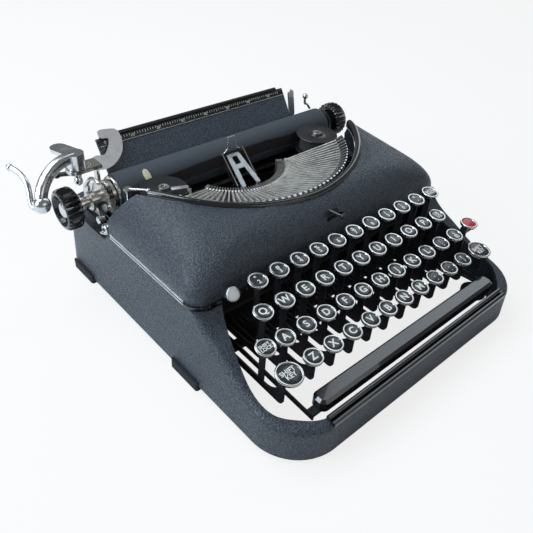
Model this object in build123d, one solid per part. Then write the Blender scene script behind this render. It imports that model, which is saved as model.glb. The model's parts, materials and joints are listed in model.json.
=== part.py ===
from build123d import *

import os
from math import atan2, cos, degrees, hypot, radians, sin, sqrt

# Four-bank type-bar portable typewriter. Millimetres. While it is built, X = 0 is the machine's
# middle, Y = 0 the front edge of the base and Z = 0 the table; the last step puts the origin at
# the bottom centre of the whole. +X is the typist's right, +Y the back, +Z up.

# ---------------------------------------------------------------- casing
FOOT_HEIGHT = 4.0
BASE_HALF_WIDTH = 135.0
BASE_DEPTH = 298.0
BASE_CORNER_R = 38.0
BASE_REAR_CORNER_R = 26.0
SIDE_DRAFT = 3.0                 # how far the side walls lean in at the parting line
PARTING_Z = 66.0                 # where the cover meets the base
REAR_WALL_Z = 59.0               # lower rear wall, so that the carriage and knobs pass over it
REAR_STEP = 9.0                  # from the cover's rear to where the walls are low
ARM_TOP_Z = 31.0                 # top of the base arms at the front
ARM_EDGE_R = 4.5
BASE_WALL = 2.5
FRONT_BAND = 8.5                 # depth of the front bar of the base
WELL_SIDE = ((99.0, 8.5), (107.0, 11.5), (116.0, 18.5), (124.5, 28.0), (127.5, 44.0),
             (124.0, 64.0), (118.0, 84.0), (109.0, 106.0))
COVER_FRONT_Y = 103.0
COVER_REAR_Y = 213.0
COVER_TOP_Z = 98.5               # of the crown's plane, over the front edge
COVER_SLOPE = 6.5                # degrees that the crown rises to the back
COVER_CORNER_R = 12.0            # at the seam, growing to the crown
COVER_UPRIGHT = 7.0              # height of the wall below the crown's curve
CROWN_FRONT = 30.0               # how far the crown's curve reaches in from the front
CROWN_SIDE = 40.0                # and from each side
CROWN_STEPS = 7
COVER_WALL = 2.2
COVER_REAR_TOP_Y = 190.0         # the cover's back edge leans forward to here at its top
SEAM = 0.3
RIM_R = 120.0                    # crescent opening over the type bars
RIM_CENTRE_Y = 246.0
RIM_SPREAD = 63.0                # degrees each side of the middle
RIM_STEPS = 8
RIM_WIDTH = 5.6
RIM_DEPTH = 8.0
RIM_ROUND = 2.6
RIM_PROUD = 2.4                  # of the cover
TRIM_HEIGHT = 1.3
TRIM_PROUD = 0.9
TRIM_GAP = 1.2
BEAD_HEIGHT = 2.6
BEAD_PROUD = 1.3
LATCHES_X = (-106.0, 114.0)       # the right one stands clear of the backspace key
LATCH_R = 5.2
LATCH_FIT = 0.05
FOOT_R = 11.0
FOOT_INSET_X = 16.0
FOOT_FRONT_Y = 112.0
FOOT_REAR_Y = 262.0
FOOT_TIP_Y = 26.0
FOOT_LENGTH = 32.0
FOOT_PROUD = 2.2                 # of the side walls
FOOT_LIP_Z = 8.0

# ---------------------------------------------------------------- keyboard
KEY_PITCH = 19.05
KEY_R = 7.2
KEY_RING_WALL = 1.45
KEY_RING_HEIGHT = 3.6
KEY_FACE_DROP = 0.7
KEY_TILT = 6.6                   # degrees that the key tops lean to the typist
LEVER_THICKNESS = 1.3
LEVER_HEIGHT = 5.8
LEVER_FRONT_Z = 32.0
STEM_WIDTH = 5.2
STEM_FILLET = 12.0
FULCRUM_Y = 250.0
FULCRUM_Z = 36.0
FULCRUM_R = 2.5
RUNNING_FIT = 0.05
BOSS_WALL = 2.6
ROW_1 = (-90.5, 89.6, 84.0, "2 3 4 5 6 7 8 9 0 hyphen")
ROW_2 = (-100.0, 72.5, 73.8, "q w e r t y u i o p half")
ROW_3 = (-95.3, 55.1, 61.9, "a s d f g h j k l semicolon at")
ROW_4 = (-85.7, 37.7, 51.8, "z x c v b n m comma period slash")
SHIFT_KEY_R = 9.6
SHIFT_KEY_X = 108.0
SHIFT_LOCK_X = -111.5
BACKSPACE_X = 99.9
MARGIN_KEY_X = 114.4
MARGIN_KEY_Z = 66.0
SHIFT_LEVER_X = 113.5
SHIFT_TIE_Y = 196.0
SHIFT_TIE_Z = 21.5
SHIFT_TIE_R = 2.4
SPACE_HALF_LENGTH = 99.5
SPACE_Y = 18.5
SPACE_TOP_Z = 38.0
SPACE_WIDTH = 12.5
SPACE_THICKNESS = 9.0
SPACE_LEVER_X = 104.5

# ---------------------------------------------------------------- type basket
FAN_CENTRE_Y = 232.0
BAR_COUNT = 42
BAR_SPREAD = 60.0                # degrees each side of the middle
BAR_THICKNESS = 1.2
BAR_WIDTH = 3.4
BAR_PIVOT = (52.4, 65.3)         # distance from the fan's centre, and height
BAR_KNEE = (51.0, 79.0)
BAR_TIP = (99.5, 97.5)
WIRE_R = 1.0
SLUG_LENGTH = 7.5
SLUG_HEIGHT = 3.2
SLUG_WIDTH = 2.4
SEGMENT_INNER_R = 42.0
SEGMENT_OUTER_R = 61.0
SEGMENT_TOP_Z = 79.0              # of its inner rib
SEGMENT_RIB = 6.0
SEGMENT_BACK_Z = 70.0
SEGMENT_BOTTOM_Z = 47.0
SLOT_CLEARANCE = 0.15
SHELF = 3.0                      # plate that carries the segment
SHELF_HOLE_R = 41.0
MOVING_BAR = 21
GUIDE_TOP = (231.0, 90.0)
GUIDE_FOOT = (203.0, 72.0)
GUIDE_TOP_WIDTH = 13.0
GUIDE_FOOT_WIDTH = 20.0
GUIDE_THICKNESS = 0.9
CARRIER_X = 11.4
CARRIER_THICKNESS = 1.0
RIBBON_WIDTH = 12.7
RIBBON_Z = 86.5
RIBBON_THICKNESS = 0.4
SPOOL_X = 84.0
SPOOL_Y = 209.0
SPOOL_R = 19.0
SPOOL_TOP_Z = 94.0
SPOOL_HEIGHT = 15.0
SPOOL_FLANGE = 0.9
SPOOL_HUB_R = 5.0
SPOOL_POST_R = 2.0

# ---------------------------------------------------------------- carriage
PLATEN_R = 15.5
PLATEN_Y = 247.0
PLATEN_Z = 79.0
PLATEN_LEFT = -106.0
PLATEN_RIGHT = 126.0
PLATEN_SHAFT_R = 4.0
KNOB_R = 16.5
KNOB_THICKNESS = 14.0
KNOB_FACE_X = 153.0
KNOB_FLUTES = 24
RATCHET_R = 13.0
RATCHET_TEETH = 30
RATCHET_X = -119.5
RATCHET_THICKNESS = 3.0
END_PLATE = 2.5
HEAD_R = 12.5                    # round head of the end plates
END_GAP = 4.0                    # platen end to end plate
CARRIAGE_FLOOR_Z = 61.6
CARRIAGE_FRONT_Y = 232.5
CARRIAGE_REAR_Y = 288.0
PAPER_FOOT = (264.6, 66.0)
PAPER_BEND = (265.5, 84.0)
PAPER_TOP = (282.0, 109.0)
PAPER_LEFT = -100.0
PAPER_RIGHT = 105.0
PAPER_SHEET = 1.6
PAPER_GUIDE_SHEET = 1.2
PAPER_GUIDE_OFF = 2.2            # in front of the table, to clear its rolled edge
PAPER_GUIDE = ((-97.5, 33.0), (-97.0, 37.0), (-89.0, 37.2), (-81.5, 35.0), (-79.6, 25.0), (-84.4, 15.0),
               (-94.0, 8.4), (-102.7, 7.0), (-110.1, 10.6), (-111.0, 16.0), (-106.5, 19.2), (-99.7, 18.2),
               (-93.6, 22.6), (-91.0, 30.0))   # hook-shaped guide, across and up the table's slope
RAIL_SECTION = 6.0
RAIL_HEIGHT = 4.0
RAIL_FRONT_Y = 240.0
RAIL_REAR_Y = 280.0
RAIL_GAP = 0.3                   # carriage bars to the rails, and the rails to the side plates
SIDE_PLATE_X = 121.0
SIDE_PLATE = 2.0
LEVER_PIVOT = (-128.0, 262.0)
LEVER_PIVOT_R = 3.0
LEVER_BRACKET_Z = 99.0
LEVER_BRACKET = 3.0
LEVER_CUTS = (-200.0, -160.0, -147.0, -134.0, -100.0)   # the lever's pieces meet here


def block(x0, x1, y0, y1, z0, z1):
    return Pos(x0, y0, z0) * Box(x1 - x0, y1 - y0, z1 - z0, align=(Align.MIN,) * 3)


def cylinder(radius, x, y, z0, z1):
    return Pos(x, y, z0) * Cylinder(radius, z1 - z0, align=(Align.CENTER, Align.CENTER, Align.MIN))


def cross_shaft(radius, x0, x1, y, z):
    """A round shaft along X."""
    turned = Rot(0, 90, 0) * Cylinder(radius, x1 - x0, align=(Align.CENTER, Align.CENTER, Align.MIN))
    return Pos(x0, y, z) * turned


def rod(start, end, radius):
    """A round rod between two points."""
    start, end = Vector(*start), Vector(*end)
    plane = Plane(origin=start, z_dir=end - start)
    return plane * Cylinder(radius, (end - start).length, align=(Align.CENTER, Align.CENTER, Align.MIN))


def rise(sketch, height):
    return extrude(sketch, amount=height, dir=(0, 0, 1))


def side_plate(sketch, x_centre, thickness):
    """A sketch whose X and Y are the machine's Y and Z, as a plate across X."""
    return Pos(x_centre - thickness / 2, 0, 0) * extrude(Plane.YZ * sketch, amount=thickness, dir=(1, 0, 0))


def capsule(start, end, width):
    """A straight bar with round ends, as a sketch."""
    dx, dy = end[0] - start[0], end[1] - start[1]
    middle = ((start[0] + end[0]) / 2, (start[1] + end[1]) / 2)
    turned = Rot(0, 0, degrees(atan2(dy, dx))) * SlotCenterToCenter(hypot(dx, dy), width)
    return Pos(*middle) * turned


def disc(radius, x, y):
    return Pos(x, y) * Circle(radius)


def polygon(*points):
    return Polygon(*points, align=None)


def mirrored(shape):
    return mirror(shape, about=Plane.YZ)


# ---------------------------------------------------------------- casing
def base_outline(inset, z):
    """The base's plan, inset from its foot print."""
    half = BASE_HALF_WIDTH - inset
    sketch = polygon((-half, inset), (half, inset), (half, BASE_DEPTH - inset), (-half, BASE_DEPTH - inset))
    front = sketch.vertices().filter_by_position(Axis.Y, inset - 1, inset + 1)
    sketch = fillet(front, BASE_CORNER_R - inset)
    rear = sketch.vertices().filter_by_position(Axis.Y, BASE_DEPTH - inset - 1, BASE_DEPTH)
    return Pos(0, 0, z) * fillet(rear, BASE_REAR_CORNER_R - inset)


def base_form(inset):
    """The base as a solid block with its arm profile, inset all round by a wall."""
    low, high = FOOT_HEIGHT, PARTING_Z + 1
    draft = degrees(atan2(SIDE_DRAFT, high - low))
    form = extrude(base_outline(inset, low), amount=high - low, taper=draft)
    arm, roof = ARM_TOP_Z - inset, PARTING_Z - SEAM - inset
    rear, end = REAR_WALL_Z - inset, BASE_DEPTH + 5
    slope = Spline([(24, arm), (52, arm + 6.5), (78, arm + 19), (COVER_FRONT_Y - 2, roof)],
                   tangents=[(1, 0.1), (1, 1.5)])
    corners = [(COVER_FRONT_Y - 2, roof), (COVER_REAR_Y + 1, roof), (COVER_REAR_Y + REAR_STEP, rear),
               (end, rear), (end, 0), (-5, 0), (-5, arm - 3), (24, arm)]
    outline = make_face(Curve() + [slope, Polyline(*corners)])
    return form & side_plate(outline, 0, 2 * BASE_HALF_WIDTH + 20)


def arm_edges(form):
    """The outer top edges of the arms and the front bar."""
    chosen = []
    for edge in form.edges():
        middle = edge @ 0.5
        outside = abs(middle.X) > BASE_HALF_WIDTH - 40 or middle.Y < 6
        if ARM_TOP_Z - 8 < middle.Z < PARTING_Z - 2 and middle.Y < COVER_FRONT_Y - 4 and outside:
            chosen.append(edge)
    return chosen


def well_outline():
    """The keyboard opening: wide at the arms, narrowing to the cover and to the front bar."""
    left = [(-x, y) for x, y in WELL_SIDE]
    rear_x, rear_y = WELL_SIDE[-1]
    right_side = Spline(WELL_SIDE)
    left_side = Spline(left)
    front = Line(left[0], WELL_SIDE[0])
    back = Polyline((rear_x, rear_y), (rear_x, rear_y + 25), (-rear_x, rear_y + 25), (-rear_x, rear_y))
    return make_face(Curve() + [right_side, back, left_side, front])


def base_shell():
    """The shell in two castings, which meet where the rear walls are low."""
    outer = fillet(arm_edges(base_form(0)), ARM_EDGE_R)
    inner = base_form(BASE_WALL) - block(-200, 200, -10, 400, -20, FOOT_HEIGHT + BASE_WALL)
    well = Pos(0, 0, -1) * rise(well_outline(), 120)
    side = BASE_HALF_WIDTH - SIDE_DRAFT - 9
    room = block(-side, side, COVER_FRONT_Y - 2, BASE_DEPTH - 12, FOOT_HEIGHT + BASE_WALL, 120)
    edge = BASE_HALF_WIDTH - 26
    window = rise(RectangleRounded(2 * edge, BASE_DEPTH - 26 - FRONT_BAND, 16), 9)
    window = Pos(0, (BASE_DEPTH - 26 + FRONT_BAND) / 2, 0) * window
    shell = outer - inner - well - room - window
    behind = block(-200, 200, COVER_REAR_Y + REAR_STEP, 400, -20, 200)
    return [shell - behind, shell & behind]


def front_rail():
    """The glossy strip of two ridges along the front bar."""
    solids = []
    for y, top in ((0.8, ARM_TOP_Z + 0.4), (4.9, ARM_TOP_Z + 2.4)):
        bar = block(-SPACE_HALF_LENGTH - 1, SPACE_HALF_LENGTH + 1, y, y + 3.6, ARM_TOP_Z - 3.2, top)
        solids.append(fillet(bar.edges().filter_by(Axis.X).sort_by(Axis.Z)[-2:], 1.4))
    return solids


def rubber_feet():
    """Round pads under the front, and long pads that stand proud of the sides."""
    feet = []
    foot_x = BASE_HALF_WIDTH - FOOT_INSET_X
    for side in (-1, 1):
        foot = cylinder(FOOT_R, side * foot_x, FOOT_TIP_Y + 8, 0, FOOT_HEIGHT)
        feet.append(fillet(foot.edges().filter_by(GeomType.CIRCLE).sort_by(Axis.Z)[0], 1.2))
        for y in (FOOT_FRONT_Y, FOOT_REAR_Y):
            x0, x1 = sorted((side * (BASE_HALF_WIDTH - 14), side * (BASE_HALF_WIDTH + FOOT_PROUD)))
            pad = block(x0, x1, y - FOOT_LENGTH / 2, y + FOOT_LENGTH / 2, 0, FOOT_HEIGHT)
            x0, x1 = sorted((side * (BASE_HALF_WIDTH + 0.05), side * (BASE_HALF_WIDTH + FOOT_PROUD)))
            lip = block(x0, x1, y - FOOT_LENGTH / 2, y + FOOT_LENGTH / 2, FOOT_HEIGHT - 1, FOOT_LIP_Z)
            pad = pad + lip
            outer = pad.edges().filter_by(Axis.Z).filter_by(lambda e: abs((e @ 0.5).X) > BASE_HALF_WIDTH + 1)
            feet.append(fillet(outer, FOOT_PROUD * 0.9))
    return feet


def crown_section(inset, turn):
    """The cover's plan at one step of its crown: 0 at the wall, 90 degrees at the top."""
    reach = 1 - cos(radians(turn))
    half = BASE_HALF_WIDTH - SIDE_DRAFT - inset - CROWN_SIDE * reach
    front = inset + CROWN_FRONT * reach
    low = PARTING_Z + COVER_UPRIGHT
    height = low + (COVER_TOP_Z - inset - low) * sin(radians(turn))
    sketch = polygon((-half, front), (half, front), (half, 150), (-half, 150))
    corners = sketch.vertices().filter_by_position(Axis.Y, front - 1, front + 1)
    sketch = fillet(corners, COVER_CORNER_R - inset + CROWN_FRONT * reach)
    return Pos(0, COVER_FRONT_Y, height) * Rot(COVER_SLOPE * sin(radians(turn)), 0, 0) * sketch


def cover_block(inset):
    """The crowned cover as a solid, inset all round by a wall."""
    turns = [90 * k / CROWN_STEPS for k in range(CROWN_STEPS + 1)]
    wall = crown_section(inset, 0)
    foot = Pos(0, 0, -COVER_UPRIGHT) * wall
    return loft([foot] + [crown_section(inset, turn) for turn in turns])


def cover_shell():
    shell = cover_block(0) - Pos(0, 0, -0.01) * cover_block(COVER_WALL)
    shell = shell - cylinder(RIM_R + RIM_WIDTH / 2 + RUNNING_FIT, 0, RIM_CENTRE_Y, 0, 200)
    back = polygon((COVER_REAR_Y, 0), (COVER_REAR_Y, PARTING_Z + 15), (COVER_REAR_TOP_Y, 118),
                   (COVER_REAR_TOP_Y, 200), (400, 200), (400, 0))
    shell = shell - side_plate(back, 0, 400)
    slot_middle = (3.0, COVER_FRONT_Y, PARTING_Z + 19.0)
    ring = extrude(Circle(24.5) - Circle(21.5), amount=30, both=True)
    wedge = extrude(polygon((0, 0), (-17, 40), (17, 40)), amount=30, both=True)
    slot = Pos(slot_middle[0], 0, slot_middle[2] - 20) * Rot(90, 0, 0) * (ring & wedge)
    slot = Pos(0, slot_middle[1], 0) * slot
    shell = shell - (slot & block(-60, 60, COVER_FRONT_Y - 5, COVER_FRONT_Y + 16, 60, 120))
    return shell


def crown_height(x, y):
    """Height of the cover's outer surface, away from its corners."""
    front = max(0.0, 1 - (y - COVER_FRONT_Y) / CROWN_FRONT)
    side = max(0.0, 1 - (BASE_HALF_WIDTH - SIDE_DRAFT - abs(x)) / CROWN_SIDE)
    low = PARTING_Z + COVER_UPRIGHT
    plane = COVER_TOP_Z + (y - COVER_FRONT_Y) * sin(radians(COVER_SLOPE))
    return low + (plane - low) * sqrt(1 - max(front, side) ** 2)


def rim_bead():
    """The thick black roll round the crescent opening."""
    sections = []
    for k in range(-RIM_STEPS, RIM_STEPS + 1):
        turn = RIM_SPREAD * k / RIM_STEPS
        x, y = RIM_R * sin(radians(turn)), RIM_CENTRE_Y - RIM_R * cos(radians(turn))
        z = crown_height(x, y) + RIM_PROUD - RIM_DEPTH / 2
        across = Plane(origin=(x, y, z), x_dir=(-sin(radians(turn)), cos(radians(turn)), 0),
                       z_dir=(cos(radians(turn)), sin(radians(turn)), 0))
        sections.append(across * RectangleRounded(RIM_WIDTH, RIM_DEPTH, RIM_ROUND))
    return loft(sections)


def side_trim():
    """Two chrome strips along each side, just above the seam."""
    strips = []
    x = BASE_HALF_WIDTH - SIDE_DRAFT
    for k in range(2):
        z = PARTING_Z + 0.4 + k * (TRIM_HEIGHT + TRIM_GAP)
        strip = block(x, x + TRIM_PROUD, COVER_FRONT_Y + COVER_CORNER_R, COVER_REAR_Y - 3, z, z + TRIM_HEIGHT)
        strips += [strip, mirrored(strip)]
    return strips


def front_bead(grown=0.0):
    """A half-round black bead along the cover's front edge and round its corners."""
    rear = COVER_FRONT_Y + COVER_CORNER_R
    sketch = crown_section(0, 0)
    outer = offset(sketch, BEAD_PROUD + grown)
    ring = Pos(0, 0, -COVER_UPRIGHT + 0.2 - grown) * rise(outer - sketch, BEAD_HEIGHT + 2 * grown)
    return ring & block(-300, 300, 0, rear - 0.2, 0, 200)


def latch_button(x):
    """Round-headed latch that stands before the cover's front edge."""
    head = Cylinder(LATCH_R, 2.4, align=(Align.CENTER, Align.CENTER, Align.MIN))
    head = fillet(head.edges().filter_by(GeomType.CIRCLE).sort_by(Axis.Z)[-1], 1.2)
    skirt = Pos(0, 0, -3.2) * Cone(3.0, LATCH_R - 0.6, 3.2, align=(Align.CENTER, Align.CENTER, Align.MIN))
    stem = Pos(0, 0, -9.2) * Cylinder(2.2, 6.0, align=(Align.CENTER, Align.CENTER, Align.MIN))
    button = Pos(x, COVER_FRONT_Y - 6.2, PARTING_Z + 8.6) * Rot(50, 0, 0) * (head + skirt + stem)
    button = button - cover_block(-LATCH_FIT) - front_bead(LATCH_FIT)
    return max(button.solids(), key=lambda s: s.volume)


def top_cover():
    return [cover_shell(), rim_bead(), front_bead()] + side_trim() + [latch_button(x) for x in LATCHES_X]


# ---------------------------------------------------------------- keyboard
def key_cap(radius, x, y, z):
    """Nickel ring, dished cup and face of one key, its top at the given point."""
    wall = KEY_RING_WALL
    ring = Cylinder(radius, KEY_RING_HEIGHT, align=(Align.CENTER, Align.CENTER, Align.MAX))
    ring = fillet(ring.edges().filter_by(GeomType.CIRCLE), 0.7)
    ring = ring - Cylinder(radius - wall, 20)
    cup = Cylinder(radius - wall, KEY_RING_HEIGHT - KEY_FACE_DROP - 1.0,
                   align=(Align.CENTER, Align.CENTER, Align.MIN))
    cup = Pos(0, 0, -KEY_RING_HEIGHT) * cup
    face = Cylinder(radius - wall, 1.0, align=(Align.CENTER, Align.CENTER, Align.MAX))
    face = Pos(0, 0, -KEY_FACE_DROP) * face
    place = Pos(x, y, z) * Rot(KEY_TILT, 0, 0)
    return [place * ring, place * cup, place * face]


def stem_top(y, z, at):
    """Height of the underside of a leaning key cap whose top centre is (y, z)."""
    tilt = radians(KEY_TILT)
    return z - KEY_RING_HEIGHT / cos(tilt) + (at - y) * sin(tilt) / cos(tilt)


def lever_z(y):
    """All levers lie in one plane that rises to the fulcrum."""
    return LEVER_FRONT_Z + (FULCRUM_Z - LEVER_FRONT_Z) * (y - ROW_4[1]) / (FULCRUM_Y - ROW_4[1])


def key_lever(x, y, z, drop=0.0):
    """Flat lever with its stem, bored for the fulcrum shaft."""
    front, low = lever_z(y) - drop, LEVER_HEIGHT / 2
    half = STEM_WIDTH / 2
    outline = polygon((FULCRUM_Y, FULCRUM_Z + low), (y + half, front + low),
                      (y + half, stem_top(y, z, y + half)), (y - half, stem_top(y, z, y - half)),
                      (y - half, front - low), (FULCRUM_Y, FULCRUM_Z - low))
    inner = outline.vertices().filter_by_position(Axis.X, y + half - 0.1, y + half + 0.1)
    outline = fillet(inner.sort_by(Axis.Y)[0], STEM_FILLET)
    outer = outline.vertices().filter_by_position(Axis.X, y - half - 0.1, y - half + 0.1)
    outline = fillet(outer.sort_by(Axis.Y)[0], 4.5)
    outline = outline + disc(FULCRUM_R + BOSS_WALL, FULCRUM_Y, FULCRUM_Z)
    outline = outline - disc(FULCRUM_R + RUNNING_FIT, FULCRUM_Y, FULCRUM_Z)
    return side_plate(outline, x, LEVER_THICKNESS)


def stem_and_arm(lever, y):
    """A lever cut behind its stem into two simple solids that meet face to face."""
    behind = y + STEM_WIDTH / 2 + STEM_FILLET
    return [lever & block(-200, 200, -50, behind, 0, 200), lever & block(-200, 200, behind, 400, 0, 200)]


def typing_key(x, y, z):
    return stem_and_arm(key_lever(x, y, z), y) + key_cap(KEY_R, x, y, z)


def keyboard():
    parts = {}
    for first_x, y, z, names in (ROW_1, ROW_2, ROW_3, ROW_4):
        for k, name in enumerate(names.split()):
            parts["key_" + name] = typing_key(first_x + k * KEY_PITCH, y, z)
    return parts


def crank(x_lever, x_key, y, z):
    """The bar that carries a key standing beside its lever."""
    x0, x1 = sorted((x_lever, x_key))
    half = STEM_WIDTH / 2
    low = stem_top(y, z, y - half)
    outline = polygon((y - half, low - 3.5), (y + half, low - 3.5),
                      (y + half, stem_top(y, z, y + half)), (y - half, low))
    return side_plate(outline, (x0 + x1) / 2, x1 - x0 + 4.0)


def shift_keys():
    """Two shift keys and the shift lock on two levers, with the bar that ties them."""
    y, z = ROW_4[1] - 1.0, ROW_4[2]
    half = LEVER_THICKNESS / 2
    tie = cross_shaft(SHIFT_TIE_R, -SHIFT_LEVER_X - half, SHIFT_LEVER_X + half, SHIFT_TIE_Y, SHIFT_TIE_Z)
    room = cross_shaft(SHIFT_TIE_R + RUNNING_FIT, -200, 200, SHIFT_TIE_Y, SHIFT_TIE_Z)
    levers, caps = [], []
    for side in (-1, 1):
        x = side * SHIFT_LEVER_X
        hanger = block(x - half, x + half, SHIFT_TIE_Y - 4, SHIFT_TIE_Y + 4,
                       SHIFT_TIE_Z - 4, lever_z(SHIFT_TIE_Y))
        lever = key_lever(x, y, z, drop=2.0) + hanger
        levers += stem_and_arm(lever + crank(x, side * SHIFT_KEY_X, y, z) - room, y)
        caps += key_cap(SHIFT_KEY_R, side * SHIFT_KEY_X, y, z)
    # The lock stands beside the row of A to the semicolon, on the left lever.
    lock_y, lock_z = ROW_3[1] + 1.0, ROW_3[2]
    half_stem = STEM_WIDTH / 2
    post = block(-SHIFT_LEVER_X - half, -SHIFT_LEVER_X + half, lock_y - half_stem, lock_y + half_stem,
                 LEVER_FRONT_Z - 2, stem_top(lock_y, lock_z, lock_y - half_stem) - 1)
    lock = post + crank(-SHIFT_LEVER_X, SHIFT_LOCK_X, lock_y, lock_z) - levers[1]
    return levers + [tie, lock] + caps + key_cap(KEY_R, SHIFT_LOCK_X, lock_y, lock_z)


def space_bar():
    """Long gloss bar on two levers."""
    half, low = SPACE_HALF_LENGTH, SPACE_TOP_Z - SPACE_THICKNESS
    bar = block(-half, half, SPACE_Y - SPACE_WIDTH / 2, SPACE_Y + SPACE_WIDTH / 2, low, SPACE_TOP_Z)
    bar = fillet(bar.edges().filter_by(Axis.Z), 5.0)
    bar = chamfer(bar.faces().sort_by(Axis.Z)[-1].edges(), 2.0)
    solids = [bar]
    for side in (-1, 1):
        x = side * SPACE_LEVER_X
        outline = polygon((FULCRUM_Y, FULCRUM_Z + 3), (SPACE_Y + 3, low - 1), (SPACE_Y + 3, low),
                          (SPACE_Y - 3, low), (SPACE_Y - 3, low - 5), (FULCRUM_Y, FULCRUM_Z - 3))
        outline = outline + disc(FULCRUM_R + BOSS_WALL, FULCRUM_Y, FULCRUM_Z)
        outline = outline - disc(FULCRUM_R + RUNNING_FIT, FULCRUM_Y, FULCRUM_Z)
        lever = side_plate(outline, x, LEVER_THICKNESS)
        x0, x1 = sorted((side * (half - 10), side * (SPACE_LEVER_X - LEVER_THICKNESS / 2)))
        solids += [lever, block(x0, x1, SPACE_Y - 3, SPACE_Y + 3, low - 2.5, low)]
    return solids


def margin_release_key():
    x, y, z = MARGIN_KEY_X, ROW_3[1], MARGIN_KEY_Z
    lever = key_lever(x - 5.4, y, z) + crank(x - 5.4, x, y, z)
    return stem_and_arm(lever, y) + key_cap(KEY_R, x, y, z)


# ---------------------------------------------------------------- type basket
def bar_angle(index):
    return -BAR_SPREAD + 2 * BAR_SPREAD * index / (BAR_COUNT - 1)


def place_bar(shape, index):
    """Turns a bar made in the middle plane to its place in the fan."""
    return Pos(0, FAN_CENTRE_Y, 0) * Rot(0, 0, bar_angle(index)) * shape


def type_bar():
    """One type bar in the plane X = 0, pointing to -Y from the fan's centre, with its slug."""
    def at(point):
        return (-point[0], point[1])
    outline = capsule(at(BAR_PIVOT), at(BAR_KNEE), BAR_WIDTH + 1.6)
    outline = outline + capsule(at(BAR_KNEE), at(BAR_TIP), BAR_WIDTH)
    outline = outline - disc(WIRE_R + RUNNING_FIT, *at(BAR_PIVOT))
    bar = side_plate(outline, 0, BAR_THICKNESS)
    away = atan2(BAR_TIP[1] - BAR_PIVOT[1], BAR_TIP[0] - BAR_PIVOT[0])
    slug = Box(SLUG_WIDTH, SLUG_HEIGHT, SLUG_LENGTH, align=(Align.CENTER, Align.CENTER, Align.CENTER))
    slug = chamfer(slug.edges().filter_by(Axis.X), 0.6)
    lift = 1.6
    seat = Pos(0, -BAR_TIP[0] + lift * sin(away), BAR_TIP[1] + lift * cos(away))
    slug = seat * Rot(90 - degrees(away), 0, 0) * slug
    return bar + slug


def type_bars():
    bar = type_bar()
    return [place_bar(bar, k) for k in range(BAR_COUNT) if k != MOVING_BAR]


def sector_ring(inner, outer, spread, z0, z1):
    """Part of a ring about the fan's centre, open to the back."""
    reach = 2 * outer
    side, back = reach * sin(radians(spread)), -reach * cos(radians(spread))
    wedge = polygon((0, 0), (-side, back), (-reach, -2 * reach), (reach, -2 * reach), (side, back))
    ring = (Circle(outer) - Circle(inner)) & wedge
    return Pos(0, FAN_CENTRE_Y, z0) * rise(ring, z1 - z0)


def fan_wire(radius):
    """The bent wire that every type bar turns on."""
    spread = BAR_SPREAD + 4
    section = Plane(origin=(0, -BAR_PIVOT[0], BAR_PIVOT[1]), z_dir=(1, 0, 0)) * Circle(radius)
    return Pos(0, FAN_CENTRE_Y, 0) * revolve(Rot(0, 0, -spread) * section, Axis.Z, 2 * spread)


def type_segment():
    """The slotted segment, and the wire that the bars turn on."""
    spread = BAR_SPREAD + 5
    body = sector_ring(SEGMENT_INNER_R, SEGMENT_OUTER_R, spread, SEGMENT_BOTTOM_Z, SEGMENT_BACK_Z)
    rib = sector_ring(SEGMENT_INNER_R, SEGMENT_INNER_R + SEGMENT_RIB, spread, SEGMENT_BOTTOM_Z, SEGMENT_TOP_Z)
    body = body + rib
    half = BAR_THICKNESS / 2 + SLOT_CLEARANCE
    slot = block(-half, half, -SEGMENT_OUTER_R - 2, -SEGMENT_INNER_R + 2,
                 SEGMENT_BOTTOM_Z + 5, SEGMENT_TOP_Z + 1)
    body = body - [place_bar(slot, k) for k in range(BAR_COUNT)]
    return [body - fan_wire(WIRE_R), fan_wire(WIRE_R)]


def type_basket():
    return type_segment() + type_bars()


def guide_frame():
    """The type guide's plane, X across and Y up its slope, and the slope's length."""
    dy, dz = GUIDE_TOP[0] - GUIDE_FOOT[0], GUIDE_TOP[1] - GUIDE_FOOT[1]
    return Plane(origin=(0, GUIDE_FOOT[0], GUIDE_FOOT[1]), x_dir=(1, 0, 0), z_dir=(0, -dz, dy)), hypot(dy, dz)


def type_guide():
    """Plate with two windows before the platen, on its foot, and the ribbon to either side."""
    plane, length = guide_frame()
    half_foot, half_top = GUIDE_FOOT_WIDTH / 2, GUIDE_TOP_WIDTH / 2
    outline = polygon((-half_foot, 0), (half_foot, 0), (half_top, length), (-half_top, length))
    window = Pos(0, length * 0.75) * Rectangle(6.0, 8.0)
    fork = polygon((-6.0, -1), (6.0, -1), (3.6, length * 0.5), (-3.6, length * 0.5))
    plate = extrude(plane * (outline - window - fork), amount=GUIDE_THICKNESS)
    foot_y, foot_z = GUIDE_FOOT
    base_z = SEGMENT_BOTTOM_Z - SHELF
    for side in (-1, 1):
        x0, x1 = sorted((side * 6.3, side * half_foot))
        plate = plate + block(x0, x1, foot_y - 1.2, foot_y + 0.4, base_z, foot_z + 0.6)
    sole = block(-half_foot, half_foot, FAN_CENTRE_Y - SEGMENT_INNER_R, foot_y + 0.4, base_z, base_z + SHELF)
    plate = plate + (sole & cylinder(SHELF_HOLE_R - RUNNING_FIT, 0, FAN_CENTRE_Y, base_z, base_z + SHELF))
    ribbon = []
    for side in (-1, 1):
        start = (side * (SPOOL_X - 4), SPOOL_Y + SPOOL_R - 2.4)
        end = (side * (CARRIER_X + 1.4), GUIDE_TOP[0] - 1.6)
        run = polygon(start, end, (end[0], end[1] + RIBBON_THICKNESS), (start[0], start[1] + RIBBON_THICKNESS))
        ribbon.append(Pos(0, 0, RIBBON_Z - RIBBON_WIDTH / 2) * rise(run, RIBBON_WIDTH))
    return [plate] + ribbon


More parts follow.
